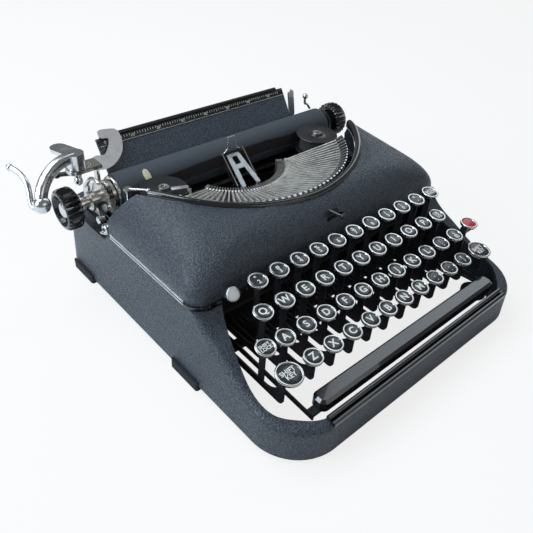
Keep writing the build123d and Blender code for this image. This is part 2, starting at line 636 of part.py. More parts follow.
def ribbon_carrier():
    """The fork that lifts the ribbon at both sides of the guide, with its wire loop."""
    foot_y = GUIDE_FOOT[0] + 4.0
    top_y, top_z = GUIDE_TOP
    outline = polygon((foot_y, SEGMENT_BOTTOM_Z), (foot_y + 3, SEGMENT_BOTTOM_Z), (foot_y + 3, 68),
                      (top_y, top_z - 3), (top_y - 1, top_z + 3), (top_y - 4, top_z + 1), (foot_y, 72))
    half = CARRIER_THICKNESS / 2
    fork = block(-CARRIER_X, CARRIER_X, foot_y, foot_y + 3, SEGMENT_BOTTOM_Z, SEGMENT_BOTTOM_Z + 2.5)
    loop = []
    for side in (-1, 1):
        fork = fork + side_plate(outline, side * CARRIER_X, 2 * half)
        low, bend = (side * CARRIER_X, top_y - 1.5, top_z), (side * 4.6, top_y - 0.5, top_z + 5)
        high = (side * 3.4, top_y + 0.5, top_z + 15)
        loop += [rod(low, bend, 0.6), rod(bend, high, 0.6), Pos(*bend) * Sphere(0.6), Pos(*high) * Sphere(0.6)]
    loop.append(rod((-3.4, top_y + 0.5, top_z + 15), (3.4, top_y + 0.5, top_z + 15), 0.6))
    for piece in loop:
        fork = fork + piece
    return [fork]


def ribbon_spool(x):
    top, low = SPOOL_TOP_Z, SPOOL_TOP_Z - SPOOL_HEIGHT
    flange_top = cylinder(SPOOL_R, x, SPOOL_Y, top - SPOOL_FLANGE, top)
    flange_low = cylinder(SPOOL_R, x, SPOOL_Y, low, low + SPOOL_FLANGE)
    wound = cylinder(SPOOL_R - 4.0, x, SPOOL_Y, low + SPOOL_FLANGE, top - SPOOL_FLANGE)
    hub = cylinder(SPOOL_HUB_R, x, SPOOL_Y, top, top + 1.6)
    hub = fillet(hub.edges().filter_by(GeomType.CIRCLE).sort_by(Axis.Z)[-1], 0.8)
    bore = cylinder(SPOOL_POST_R + RUNNING_FIT, x, SPOOL_Y, low - 1, top - 1)
    reel = (flange_top + flange_low + hub) + cylinder(SPOOL_HUB_R, x, SPOOL_Y, low, top)
    ribbon_pack = wound - cylinder(SPOOL_HUB_R, x, SPOOL_Y, low, top)
    return [reel - bore, ribbon_pack]


# ---------------------------------------------------------------- inner frame
def inner_frame():
    """Side plates, fulcrum shaft, cross bars, spool posts, mainspring drum and bell."""
    solids = []
    plate_x, floor = SIDE_PLATE_X, FOOT_HEIGHT + BASE_WALL
    outline = polygon((96, floor), (284, floor), (284, 50), (214, 50), (206, 60), (120, 60), (96, 40))
    outline = fillet(outline.vertices(), 4)
    for side in (-1, 1):
        plate = side_plate(outline, side * plate_x, SIDE_PLATE)
        solids.append(plate - cross_shaft(FULCRUM_R, -200, 200, FULCRUM_Y, FULCRUM_Z))
    solids.append(cross_shaft(FULCRUM_R, -plate_x - 1, plate_x + 1, FULCRUM_Y, FULCRUM_Z))
    span = plate_x - SIDE_PLATE / 2
    # The bar that the levers come up against, faced with felt, and the guard bar below them.
    rest_y, rest_z = 119.0, lever_z(119.0) + LEVER_HEIGHT / 2 + 0.8
    solids.append(block(-span, span, rest_y - 3, rest_y + 3, rest_z + 3, rest_z + 13))
    solids.append(block(-span + 12, span - 12, rest_y - 3, rest_y + 3, rest_z, rest_z + 3))
    solids.append(block(-span, span, 104, 112, floor, floor + 4))
    shelf = block(-span, span, 166, FAN_CENTRE_Y, SEGMENT_BOTTOM_Z - SHELF, SEGMENT_BOTTOM_Z)
    shelf = shelf - cylinder(SHELF_HOLE_R, 0, FAN_CENTRE_Y, 40, 60)
    solids.append(shelf)
    for side in (-1, 1):
        x = side * SPOOL_X
        post = cylinder(SPOOL_POST_R, x, SPOOL_Y, SEGMENT_BOTTOM_Z, SPOOL_TOP_Z - 1.2)
        collar = cylinder(7.0, x, SPOOL_Y, SEGMENT_BOTTOM_Z, SPOOL_TOP_Z - SPOOL_HEIGHT - 0.3)
        solids.append(post + collar)
    floor_bar = block(-span, span, 258, 274, floor, floor + 2)
    drum = fillet(cylinder(20, -70, 266, 10, 26).edges().filter_by(GeomType.CIRCLE), 1.5)
    bell = fillet(cylinder(16, 74, 266, 18, 25).edges().filter_by(GeomType.CIRCLE).sort_by(Axis.Z)[-1], 5)
    solids.append(floor_bar)
    solids.append(drum + cylinder(3, -70, 266, floor + 2, 11))
    solids.append(bell + cylinder(3, 74, 266, floor + 2, 19))
    return solids + type_guide()


# ---------------------------------------------------------------- carriage
def rail_top():
    return CARRIAGE_FLOOR_Z - 2 * RAIL_GAP


def shift_rails():
    """The two rails that the carriage runs on, in the frame that lifts them for capitals."""
    half, top = SIDE_PLATE_X - SIDE_PLATE / 2 - RAIL_GAP, rail_top()
    side = RAIL_SECTION / 2
    frame = block(-half, half, RAIL_FRONT_Y - side, RAIL_FRONT_Y + side, top - RAIL_HEIGHT, top)
    frame = frame + block(-half, half, RAIL_REAR_Y - side, RAIL_REAR_Y + side, top - RAIL_HEIGHT, top)
    for x in (-half, -40, 36, half - 4):
        frame = frame + block(x, x + 4, RAIL_FRONT_Y, RAIL_REAR_Y, top - RAIL_HEIGHT, top - 1)
    for x in (-half, half - 2):
        frame = frame + block(x, x + 2, RAIL_FRONT_Y + 14, RAIL_REAR_Y - 8, 45, top - 2)
    return [frame]


def end_plate_outline():
    """Foot on the rails, rising to a round head about the platen's shaft."""
    front, rear, low = CARRIAGE_FRONT_Y + 2, CARRIAGE_REAR_Y, CARRIAGE_FLOOR_Z
    foot = polygon((front, low), (rear, low), (rear, 70), (PLATEN_Y + 9, PLATEN_Z + 7),
                   (PLATEN_Y - 9, PLATEN_Z + 7), (front, 70))
    outline = fillet(foot.vertices(), 2.0) + disc(HEAD_R, PLATEN_Y, PLATEN_Z)
    return outline - disc(PLATEN_SHAFT_R + RUNNING_FIT, PLATEN_Y, PLATEN_Z)


def carriage_frame():
    """End plates, the bars that run on the rails, and the bracket of the return lever."""
    left, right = PLATEN_LEFT - END_GAP, PLATEN_RIGHT + END_GAP
    low = CARRIAGE_FLOOR_Z - RAIL_GAP
    frame = side_plate(end_plate_outline(), left - END_PLATE / 2, END_PLATE)
    frame = frame + side_plate(end_plate_outline(), right + END_PLATE / 2, END_PLATE)
    frame = frame + block(left - 1, right + 1, 236, 246, low, low + 1.6)
    frame = frame + block(left - 1, right + 1, 272, CARRIAGE_REAR_Y - 2, low, low + 3.2)
    x, y = LEVER_PIVOT
    top = LEVER_BRACKET_Z + LEVER_BRACKET
    post = block(left - END_PLATE, left, y - 1, y + 4, CARRIAGE_FLOOR_Z, top)
    bracket = block(x - 8, left, y - 7, y + 7, LEVER_BRACKET_Z, top)
    bracket = fillet(bracket.edges().filter_by(Axis.Z).sort_by(Axis.X)[:2], 5)
    frame = frame + post + bracket - cylinder(LEVER_PIVOT_R + RUNNING_FIT, x, y, 80, 120)
    return [frame]


def paper_table():
    """Leaning sheet with its rolled scale edge, brackets, paper guide and release levers."""
    foot, bend, top = PAPER_FOOT, PAPER_BEND, PAPER_TOP
    rear = [(p[0] + PAPER_SHEET, p[1] - 0.4) for p in (top, bend, foot)]
    middle, width = (PAPER_LEFT + PAPER_RIGHT) / 2, PAPER_RIGHT - PAPER_LEFT
    table = side_plate(polygon(foot, bend, top, *rear), middle, width)
    table = table + cross_shaft(1.9, PAPER_LEFT + 4, PAPER_RIGHT - 9, top[0] + 0.6, top[1] + 0.6)
    seat = CARRIAGE_FLOOR_Z - RAIL_GAP + 3.2
    stay = polygon((265.4, seat), (284, seat), (284, seat + 2), (268, 77), (265.4, 77))
    for x in (-78, 0, 78):
        table = table + side_plate(stay, x, 6.0)
    lean = (top[0] - bend[0]) / (top[1] - bend[1])
    guide = make_face(Spline(PAPER_GUIDE, periodic=True))
    guide_plane = Plane(origin=(0, bend[0] - PAPER_GUIDE_OFF, bend[1]), x_dir=(1, 0, 0), z_dir=(0, -1, lean))
    guide = extrude(guide_plane * guide, amount=PAPER_GUIDE_SHEET, dir=(0, -1, lean))
    lever_x = PAPER_RIGHT + 4.5
    lever = capsule((lever_x, 86), (lever_x - 4, 108), 7.0)
    lever = extrude(Plane(origin=(0, 270, 0), x_dir=(1, 0, 0), z_dir=(0, -1, 0)) * lever, amount=1.4)
    stalk = block(lever_x - 1.5, lever_x + 1.5, 270, 274, 64.5, 88)
    return [table, guide, lever + stalk + block(lever_x - 1.5, lever_x + 1.5, 272, 280, 64.5, 66)]


def ratchet_wheel():
    teeth = Circle(RATCHET_R - 1.2)
    step = 360 / RATCHET_TEETH
    tooth = polygon((RATCHET_R - 1.6, -1.2), (RATCHET_R, 0.0), (RATCHET_R - 1.6, 1.2))
    for k in range(RATCHET_TEETH):
        teeth = teeth + Rot(0, 0, k * step) * tooth
    wheel = side_plate(teeth, RATCHET_X + RATCHET_THICKNESS / 2, RATCHET_THICKNESS)
    return Pos(0, PLATEN_Y, PLATEN_Z) * wheel


def platen_knob(side):
    x0, x1 = sorted((side * KNOB_FACE_X, side * (KNOB_FACE_X - KNOB_THICKNESS)))
    knob = cross_shaft(KNOB_R, x0, x1, PLATEN_Y, PLATEN_Z)
    knob = fillet(knob.edges().filter_by(GeomType.CIRCLE), 1.6)
    dish = sorted((side * (KNOB_FACE_X + 1), side * (KNOB_FACE_X - 4)))
    knob = knob - cross_shaft(KNOB_R - 4.5, dish[0], dish[1], PLATEN_Y, PLATEN_Z)
    groove = cross_shaft(0.9, x0 + 2, x1 - 2, 0, KNOB_R)
    centre = Pos(0, PLATEN_Y, PLATEN_Z)
    return knob - [centre * Rot(360 * k / KNOB_FLUTES, 0, 0) * groove for k in range(KNOB_FLUTES)]


def platen():
    """Rubber roller on its shaft, with the ratchet wheel and both knobs."""
    reach = KNOB_FACE_X - 6
    shaft = cross_shaft(PLATEN_SHAFT_R, -reach, reach, PLATEN_Y, PLATEN_Z)
    roller = cross_shaft(PLATEN_R, PLATEN_LEFT, PLATEN_RIGHT, PLATEN_Y, PLATEN_Z)
    around = [roller, ratchet_wheel(), platen_knob(-1), platen_knob(1)]
    return [shaft] + [piece - shaft for piece in around]


def return_lever():
    """Thumb plate, thick curved arm from the hub to the end block, and the thin finger piece."""
    x, y = LEVER_PIVOT
    top = LEVER_BRACKET_Z + LEVER_BRACKET
    arm = Spline([(x, y + 2, top + 8), (-143, 258.5, top + 9), (-156, 252.5, top + 4), (-163.5, 247, top - 3),
                  (-166, 244.5, top - 9)])
    body = sweep(Plane(origin=arm @ 0, z_dir=arm % 0) * RectangleRounded(8, 9, 3), path=arm)
    finger = Spline([(-166, 245, 89), (-170.5, 251, 88), (-169, 256.5, 94), (-167, 264.5, 101),
                     (-168, 273, 105), (-171, 281, 107)])
    tip = sweep(Plane(origin=finger @ 0, z_dir=finger % 0) * Circle(2.2), path=finger)
    hub = cylinder(7, x, y, top + 0.3, top + 12.5)
    thumb = Pos(0, 0, top + 9) * rise(capsule((x, y + 2), (x - 5, y + 16), 13), 3)
    block_end = Pos(-166, 243.5, 91.5) * Sphere(6.5)
    lever = body + hub + thumb + block_end + tip + Pos(-171, 281, 107) * Sphere(2.8)
    lever = lever + cylinder(LEVER_PIVOT_R, x, y, top - 8, top + 1)
    solids = []
    for low, high in zip(LEVER_CUTS, LEVER_CUTS[1:]):
        solids += (lever & block(low, high, 0, BASE_DEPTH, 0, 200)).solids()
    return solids


def all_parts():
    parts = {
        "base_frame": base_shell() + front_rail(),
        "rubber_feet": rubber_feet(),
        "top_cover": top_cover(),
        "inner_frame": inner_frame(),
        "type_basket": type_basket(),
        "moving_typebar": [place_bar(type_bar(), MOVING_BAR)],
        "ribbon_carrier": ribbon_carrier(),
        "left_spool": ribbon_spool(-SPOOL_X),
        "right_spool": ribbon_spool(SPOOL_X),
        "space_bar": space_bar(),
        "shift_keys": shift_keys(),
        "backspace_key": typing_key(BACKSPACE_X, ROW_1[1], ROW_1[2]),
        "margin_release_key": margin_release_key(),
        "shift_rails": shift_rails(),
        "carriage_frame": carriage_frame(),
        "paper_table": paper_table(),
        "platen": platen(),
        "return_lever": return_lever(),
    }
    parts.update(keyboard())
    return parts


def bottom_centre(parts):
    """The middle of the foot of the box round everything."""
    box = Compound([solid for solids in parts.values() for solid in solids]).bounding_box()
    return (box.min.X + box.max.X) / 2, (box.min.Y + box.max.Y) / 2, box.min.Z


def main():
    os.makedirs("parts", exist_ok=True)
    parts = all_parts()
    x, y, z = bottom_centre(parts)
    print("machine origin to frame origin", x, y, z)
    for name, solids in parts.items():
        moved = [Pos(-x, -y, -z) * solid for solid in solids]
        export_step(Compound(moved), os.path.join("parts", name + ".step"))


if __name__ == "__main__":
    main()
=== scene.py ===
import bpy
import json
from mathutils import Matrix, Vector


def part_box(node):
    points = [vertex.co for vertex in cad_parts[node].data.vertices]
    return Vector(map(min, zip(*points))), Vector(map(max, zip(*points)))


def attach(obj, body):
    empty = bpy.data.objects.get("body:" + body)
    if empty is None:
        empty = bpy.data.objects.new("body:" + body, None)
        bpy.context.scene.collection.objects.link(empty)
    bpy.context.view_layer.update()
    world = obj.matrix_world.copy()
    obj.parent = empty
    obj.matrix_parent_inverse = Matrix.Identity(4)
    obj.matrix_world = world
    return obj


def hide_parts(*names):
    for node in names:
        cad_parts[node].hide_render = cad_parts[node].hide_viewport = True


bl_info = {
    "name": "Portable Typewriter",
    "version": (1, 0, 0),
    "blender": (4, 5, 0),
    "location": "3D View > Sidebar > Typewriter",
    "description": "Dresses a packed portable typewriter in enamel, nickel, rubber and glass",
    "category": "Object",
}

import json
import math

import bmesh
import bpy
from mathutils import Matrix, Vector
from mathutils.bvhtree import BVHTree

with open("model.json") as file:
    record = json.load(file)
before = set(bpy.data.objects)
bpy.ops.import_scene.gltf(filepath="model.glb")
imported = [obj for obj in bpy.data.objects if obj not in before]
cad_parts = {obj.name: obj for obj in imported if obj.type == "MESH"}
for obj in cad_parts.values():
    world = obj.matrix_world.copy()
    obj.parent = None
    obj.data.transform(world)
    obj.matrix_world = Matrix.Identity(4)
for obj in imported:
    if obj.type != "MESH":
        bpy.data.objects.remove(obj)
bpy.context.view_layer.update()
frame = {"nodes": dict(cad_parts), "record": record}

MM = 0.001
BASE_LOW, BASE_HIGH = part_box("base_frame")
MIDDLE_X = (BASE_LOW[0] + BASE_HIGH[0]) / 2
FRONT_Y = BASE_LOW[1]
KEY_TILT = math.radians(6.6)
JOINT_PLACE = {joint["name"]: joint.get("pos_m") for joint in frame["record"]["behaviour"]["joints"]}
PLATEN_AXIS = Vector(JOINT_PLACE["platen_turn"])


def at(x, y, z):
    """A place in millimetres from the middle of the base's front edge on the table."""
    return Vector((MIDDLE_X + x * MM, FRONT_Y + y * MM, z * MM))


# ---------------------------------------------------------------- shader maths
class Sock:
    """A socket in one material's tree, with Python operators that add Math nodes."""

    def __init__(self, tree, link):
        self.tree = tree
        self.link = link

    def _math(self, operation, *values):
        return self.tree.node("ShaderNodeMath", {"operation": operation}, *values)

    def __add__(self, other):
        return self._math("ADD", self, other)

    __radd__ = __add__

    def __sub__(self, other):
        return self._math("SUBTRACT", self, other)

    def __rsub__(self, other):
        return self._math("SUBTRACT", other, self)

    def __mul__(self, other):
        return self._math("MULTIPLY", self, other)

    __rmul__ = __mul__

    def __truediv__(self, other):
        return self._math("DIVIDE", self, other)

    def __pow__(self, other):
        return self._math("POWER", self, other)

    def above(self, limit):
        return self._math("GREATER_THAN", self, limit)

    def sine(self):
        return self._math("SINE", self)

    def absolute(self):
        return self._math("ABSOLUTE", self)

    def clamp(self, low, high):
        return self.tree.node("ShaderNodeClamp", {}, self, low, high)

    def ramp(self, low, high):
        """0 below low, 1 above high, smooth between."""
        settings = {"interpolation_type": "SMOOTHSTEP"}
        return self.tree.node("ShaderNodeMapRange", settings, self, low, high, 0.0, 1.0)


class Finish:
    """One material with a principled shader, and the method that every other node comes from."""

    def __init__(self, name, color, roughness, metallic=0.0, **constants):
        self.material = bpy.data.materials.new(name)
        self.material.use_nodes = True
        self.material.diffuse_color = (*color, 1.0)
        self.nodes = self.material.node_tree.nodes
        self.links = self.material.node_tree.links
        self.shader = self.nodes["Principled BSDF"]
        self.set("Base Color", (*color, 1.0))
        self.set("Roughness", roughness)
        self.set("Metallic", metallic)
        for socket, value in constants.items():
            self.set(socket.replace("_", " "), value)

    def set(self, socket, value):
        target = self.shader.inputs[socket]
        if isinstance(value, Sock):
            self.links.new(value.link, target)
        else:
            target.default_value = value

    def node(self, kind, settings, *values, out=0, **named):
        made = self.nodes.new(kind)
        stops = settings.pop("stops", None)
        for key, value in settings.items():
            setattr(made, key, value)
        if stops:
            ramp = made.color_ramp
            while len(ramp.elements) < len(stops):
                ramp.elements.new(0.5)
            for element, (place, color) in zip(ramp.elements, stops):
                element.position = place
                element.color = color
        sockets = [s for s in made.inputs if s.enabled]
        pairs = list(zip(sockets, values)) + [(made.inputs[k.replace("_", " ")], v) for k, v in named.items()]
        for socket, value in pairs:
            if isinstance(value, Sock):
                self.links.new(value.link, socket)
            elif value is not None:
                socket.default_value = value
        outputs = [s for s in made.outputs if s.enabled]
        return Sock(self, outputs[out] if isinstance(out, int) else made.outputs[out])

    def place(self):
        return self.node("ShaderNodeTexCoord", {}, out="Object")

    def axes(self):
        split = self.nodes.new("ShaderNodeSeparateXYZ")
        self.links.new(self.place().link, split.inputs[0])
        return [Sock(self, s) for s in split.outputs]

    def stretched(self, x, y, z):
        return self.node("ShaderNodeVectorMath", {"operation": "MULTIPLY"}, self.place(), (x, y, z))

    def noise(self, scale, detail=3.0, rough=0.55, vector=None):
        return self.node("ShaderNodeTexNoise", {}, Vector=vector or self.place(), Scale=scale,
                         Detail=detail, Roughness=rough, out="Fac")

    def cells(self, scale, feature="F1", vector=None):
        return self.node("ShaderNodeTexVoronoi", {"feature": feature}, Vector=vector or self.place(),
                         Scale=scale, out="Distance")

    def mix(self, factor, first, second):
        """Blends two colours."""
        made = self.nodes.new("ShaderNodeMix")
        made.data_type = "RGBA"
        for socket, value in ((made.inputs[0], factor), (made.inputs[6], first), (made.inputs[7], second)):
            if isinstance(value, Sock):
                self.links.new(value.link, socket)
            else:
                socket.default_value = value if isinstance(value, float) else (*value[:3], 1.0)
        return Sock(self, made.outputs[2])

    def bump(self, height, strength, distance):
        """Raises the surface by the height, a socket from 0 to 1."""
        normal = self.node("ShaderNodeBump", {}, Strength=strength, Distance=distance, Height=height)
        self.set("Normal", normal)


def shaded(color, factor):
    return tuple(min(1.0, c * factor) for c in color)


def crinkle_enamel(name, color, grain=1.0):
    """Baked wrinkle enamel: fine raised worms, duller in the hollows, with painted highlight on each crest of the
    relief and painted glints.
    """
    paint = Finish(name, color, 0.45, Coat_Weight=0.15, Coat_Roughness=0.25)
    worms = paint.noise(620 * grain, 3.0, 0.6)
    pebbles = paint.cells(900 * grain)
    relief = worms * 0.65 + pebbles * 0.5
    crest = relief.ramp(0.4, 0.7)
    # Painted glints: bright specks in the base colour that stand in for highlights off the grain.
    painted_glints = paint.noise(1000 * grain, 2.0).ramp(0.54, 0.68)
    patches = paint.noise(14, 3.0)
    body = paint.mix(patches, shaded(color, 0.5), shaded(color, 0.8))
    # Painted highlight: each crest of the relief is painted up to three times lighter than the paint.
    crest_highlight = paint.mix(crest * 0.7, body, shaded(color, 3.0))
    paint.set("Base Color", paint.mix(painted_glints * 0.5, crest_highlight, shaded(color, 6.0)))
    paint.set("Roughness", 0.52 - crest * 0.2)
    paint.bump(relief, 0.9, 0.0008)
    return paint.material


def lacquer(name, color, roughness=0.12, coat=1.0):
    """Smooth stoved lacquer with a few dull rubbed patches and dust."""
    paint = Finish(name, color, roughness, Coat_Weight=coat, Coat_Roughness=0.03, IOR=1.5)
    rubbed = paint.noise(60, 5.0, 0.65).ramp(0.5, 0.85)
    dust = paint.noise(2600, 2.0).ramp(0.68, 0.8)
    paint.set("Roughness", roughness + rubbed * 0.12)
    paint.set("Base Color", paint.mix(dust * 0.08 + rubbed * 0.015, color, (0.2, 0.21, 0.22)))
    paint.bump(paint.noise(160, 3.0), 0.05, 0.0004)
    return paint.material


def nickel(name, color, roughness=0.18, tarnish=0.5):
    """Plated metal with cloudy tarnish and fine polishing scratches."""
    plate = Finish(name, color, roughness, 1.0)
    cloud = plate.noise(95, 5.0, 0.65).ramp(0.4, 0.75)
    scratches = plate.noise(420, 6.0, 0.7, plate.stretched(1.0, 6.0, 1.0))
    spots = plate.noise(700, 2.0).ramp(0.68, 0.78)
    warm = plate.mix(cloud * tarnish, color, shaded((0.78, 0.72, 0.62), sum(color) / 3))
    plate.set("Base Color", plate.mix(spots * tarnish * 0.6, warm, (0.16, 0.14, 0.12)))
    plate.set("Roughness", roughness + cloud * 0.14 + scratches * 0.1)
    plate.bump(scratches, 0.12, 0.0002)
    return plate.material


def drawn_steel(name, color, roughness=0.34):
    """Steel with rolling marks and oil in patches."""
    steel = Finish(name, color, roughness, 0.95)
    marks = steel.noise(900, 4.0, 0.6, steel.stretched(1.0, 0.2, 1.0))
    oil = steel.noise(130, 5.0, 0.6).ramp(0.42, 0.7)
    steel.set("Base Color", steel.mix(oil * 0.45, color, shaded(color, 0.45)))
    steel.set("Roughness", roughness + marks * 0.2 - oil * 0.06)
    steel.bump(marks, 0.15, 0.0002)
    return steel.material


def black_japan(name, color):
    """Thin black stoving on pressed steel, worn grey at random."""
    paint = Finish(name, color, 0.38, 0.25)
    wear = paint.noise(160, 6.0, 0.7).ramp(0.58, 0.78)
    paint.set("Base Color", paint.mix(wear * 0.5, color, (0.13, 0.13, 0.135)))
    paint.set("Roughness", 0.34 + wear * 0.2)
    paint.bump(paint.noise(800, 3.0), 0.1, 0.0003)
    return paint.material


def roller_rubber(name, color):
    """Hard rubber, ground in fine rings, with a paler bloom where paper has run."""
    rubber = Finish(name, color, 0.6)
    x, _, _ = rubber.axes()
    rings = (x * 2600).sine() * 0.5 + 0.5
    bloom = rubber.noise(45, 5.0, 0.6, rubber.stretched(1.0, 0.3, 0.3)).ramp(0.4, 0.75)
    worn = rubber.mix(bloom * 0.6, color, shaded(color, 1.8))
    rubber.set("Base Color", rubber.mix(rings * 0.5, worn, shaded(color, 3.0)))
    rubber.set("Roughness", 0.42 + bloom * 0.16)
    rubber.bump(rings * 0.8 + rubber.noise(900, 3.0) * 0.4, 0.4, 0.0004)
    return rubber.material


def moulded_rubber(name, color):
    rubber = Finish(name, color, 0.55)
    grit = rubber.noise(1300, 4.0, 0.6)
    scuff = rubber.noise(120, 4.0).ramp(0.5, 0.75)
    rubber.set("Base Color", rubber.mix(scuff * 0.5, color, shaded(color, 2.6)))
    rubber.set("Roughness", 0.45 + scuff * 0.25)
    rubber.bump(grit, 0.25, 0.0004)
    return rubber.material


def key_glass(name, color):
    """Printed card under a clear dome, slightly faded in patches."""
    glass = Finish(name, color, 0.25, Coat_Weight=0.5, Coat_Roughness=0.04, IOR=1.42)
    fade = glass.noise(210, 3.0, 0.5)
    specks = glass.noise(3100, 2.0).ramp(0.68, 0.82)
    tone = glass.mix(fade, shaded(color, 0.7), shaded(color, 1.3))
    glass.set("Base Color", glass.mix(specks * 0.2, tone, (0.3, 0.32, 0.33)))
    glass.set("Roughness", 0.2 + fade * 0.14)
    glass.bump(glass.noise(160, 2.0), 0.05, 0.0004)
    return glass.material


def print_ink(name, color):
    ink = Finish(name, color, 0.4)
    worn = ink.noise(1500, 3.0).ramp(0.55, 0.8)
    ink.set("Base Color", ink.mix(worn * 0.4, color, shaded(color, 0.6)))
    return ink.material


def inked_cloth(name, color):
    """Ribbon cloth: a plain weave soaked with ink, drier in bands."""
    cloth = Finish(name, color, 0.8, Sheen_Weight=0.25)
    x, _, z = cloth.axes()
    weave = ((x * 9000).sine() * (z * 9000).sine()) * 0.5 + 0.5
    dry = cloth.noise(120, 4.0).ramp(0.45, 0.7)
    cloth.set("Base Color", cloth.mix(dry * 0.6, color, shaded(color, 2.2)))
    cloth.set("Roughness", 0.72 + weave * 0.15)
    cloth.bump(weave, 0.3, 0.0002)
    return cloth.material


def wool_felt(name, color):
    felt = Finish(name, color, 0.95)
    fibres = felt.noise(1600, 6.0, 0.75)
    felt.set("Base Color", felt.mix(fibres, shaded(color, 0.5), shaded(color, 1.6)))
    felt.bump(fibres, 0.6, 0.0006)
    return felt.material


FINISHES = {
    "enamel": lambda p: crinkle_enamel("enamel", p.enamel_color),
    # The paper table's enamel is the casing colour painted 1.9 times lighter, a painted lit copy, with a finer grain.
    "lit_table_enamel": lambda p: crinkle_enamel("lit_table_enamel", shaded(p.enamel_color, 1.9), 1.3),
    "black_lacquer": lambda p: lacquer("black_lacquer", (0.008, 0.009, 0.011)),
    "nickel": lambda p: nickel("nickel", (0.72, 0.71, 0.68)),
    "chrome": lambda p: nickel("chrome", (0.74, 0.75, 0.77), 0.12, 0.2),
    "spool_black": lambda p: lacquer("spool_black", (0.012, 0.014, 0.017), 0.3, 0.3),
    "scale_black": lambda p: lacquer("scale_black", (0.006, 0.007, 0.009), 0.4, 0.2),
    "satin_nickel": lambda p: drawn_steel("satin_nickel", (0.72, 0.74, 0.76), 0.3),
    "guide_plate": lambda p: drawn_steel("guide_plate", (0.86, 0.92, 0.95), 0.46),
    "cream_card": lambda p: print_ink("cream_card", (0.72, 0.66, 0.5)),
    "key_nickel": lambda p: nickel("key_nickel", (0.86, 0.86, 0.85), 0.34, 0.05),
    "steel": lambda p: drawn_steel("steel", (0.5, 0.49, 0.47)),
    "bar_steel": lambda p: drawn_steel("bar_steel", (0.95, 0.94, 0.9), 0.42),
    "dark_steel": lambda p: drawn_steel("dark_steel", (0.09, 0.09, 0.095), 0.4),
    "black_steel": lambda p: black_japan("black_steel", (0.014, 0.014, 0.016)),
    "platen_rubber": lambda p: roller_rubber("platen_rubber", (0.035, 0.043, 0.056)),
    "foot_rubber": lambda p: moulded_rubber("foot_rubber", (0.016, 0.017, 0.02)),
    "knob_black": lambda p: lacquer("knob_black", (0.006, 0.007, 0.009), 0.16, 0.6),
    "key_card": lambda p: key_glass("key_card", p.key_color),
    "red_card": lambda p: key_glass("red_card", (0.5, 0.02, 0.025)),
    "white_ink": lambda p: print_ink("white_ink", (0.86, 0.86, 0.82)),
    "ivory": lambda p: print_ink("ivory", (0.8, 0.78, 0.7)),
    "ribbon_cloth": lambda p: inked_cloth("ribbon_cloth", (0.008, 0.007, 0.011)),
    "felt": lambda p: wool_felt("felt", (0.05, 0.045, 0.04)),
}


def finish(name):
    """The material of that name, made once."""
    if name not in bpy.data.materials:
        FINISHES[name](bpy.context.scene.typewriter)
    return bpy.data.materials[name]


# ---------------------------------------------------------------- mesh making
def show(name, mesh, finish_name, body, smooth=35.0):
    """Puts a mesh in the scene in its finish, riding on a body."""
    mesh.materials.clear()
    mesh.materials.append(finish(finish_name))
    piece = bpy.data.objects.new(name, mesh)
    bpy.context.collection.objects.link(piece)
    if smooth:
        mesh.shade_smooth()
        mesh.set_sharp_from_angle(angle=math.radians(smooth))
    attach(piece, body)
    return piece


def bare_mesh(name, work):
    bmesh.ops.recalc_face_normals(work, faces=work.faces)
    mesh = bpy.data.meshes.new(name)
    work.to_mesh(mesh)
    work.free()
    return mesh


def turned(name, profile, segments=48, matrix=None, flutes=0, flute_depth=0.0, fluted_from=0.0):
    """A mesh turned about Z from (radius, height) points in millimetres; radius 0 closes it.

    Points beyond the radius fluted_from are let in by flute_depth, flutes times round."""
    work = bmesh.new()
    rings = []
    for radius, height in profile:
        if radius == 0:
            rings.append([work.verts.new((0, 0, height * MM))])
            continue
        ring = []
        for k in range(segments):
            a = 2 * math.pi * k / segments
            let_in = flute_depth * (0.5 - 0.5 * math.cos(flutes * a)) if radius > fluted_from else 0.0
            r = (radius - let_in) * MM
            ring.append(work.verts.new((r * math.cos(a), r * math.sin(a), height * MM)))
        rings.append(ring)
    for low, high in zip(rings, rings[1:]):
        for k in range(segments):
            n = (k + 1) % segments
            if len(low) == 1 and len(high) == 1:
                continue
            if len(low) == 1:
                work.faces.new((low[0], high[k], high[n]))
            elif len(high) == 1:
                work.faces.new((low[k], low[n], high[0]))
            else:
                work.faces.new((low[k], low[n], high[n], high[k]))
    if matrix is not None:
        work.transform(matrix)
    return bare_mesh(name, work)


def from_curve(name, curve, matrix=None):
    """Turns curve data into a mesh."""
    holder = bpy.data.objects.new(name + "_curve", curve)
    bpy.context.collection.objects.link(holder)
    bpy.context.view_layer.update()
    mesh = bpy.data.meshes.new_from_object(holder.evaluated_get(bpy.context.evaluated_depsgraph_get()))
    bpy.data.objects.remove(holder)
    bpy.data.curves.remove(curve)
    if matrix is not None:
        mesh.transform(matrix)
    mesh.name = name
    return mesh


def wire(name, points, radius, taper=None, flat=1.0):
    """A smooth round bar through points in metres; taper gives each point's share of the radius."""
    curve = bpy.data.curves.new(name, "CURVE")
    curve.dimensions = "3D"
    curve.bevel_depth = radius * MM
    curve.bevel_resolution = 4
    curve.resolution_u = 10
    curve.use_fill_caps = True
    spline = curve.splines.new("NURBS")
    spline.points.add(len(points) - 1)
    for k, point in enumerate(points):
        spline.points[k].co = (*point, 1.0)
        spline.points[k].radius = taper[k] if taper else 1.0
    spline.order_u = 3
    spline.use_endpoint_u = True
    mesh = from_curve(name, curve)
    if flat != 1.0:
        middle = sum((v.co for v in mesh.vertices), Vector()) / len(mesh.vertices)
        for v in mesh.vertices:
            v.co.z = middle.z + (v.co.z - middle.z) * flat
    return mesh


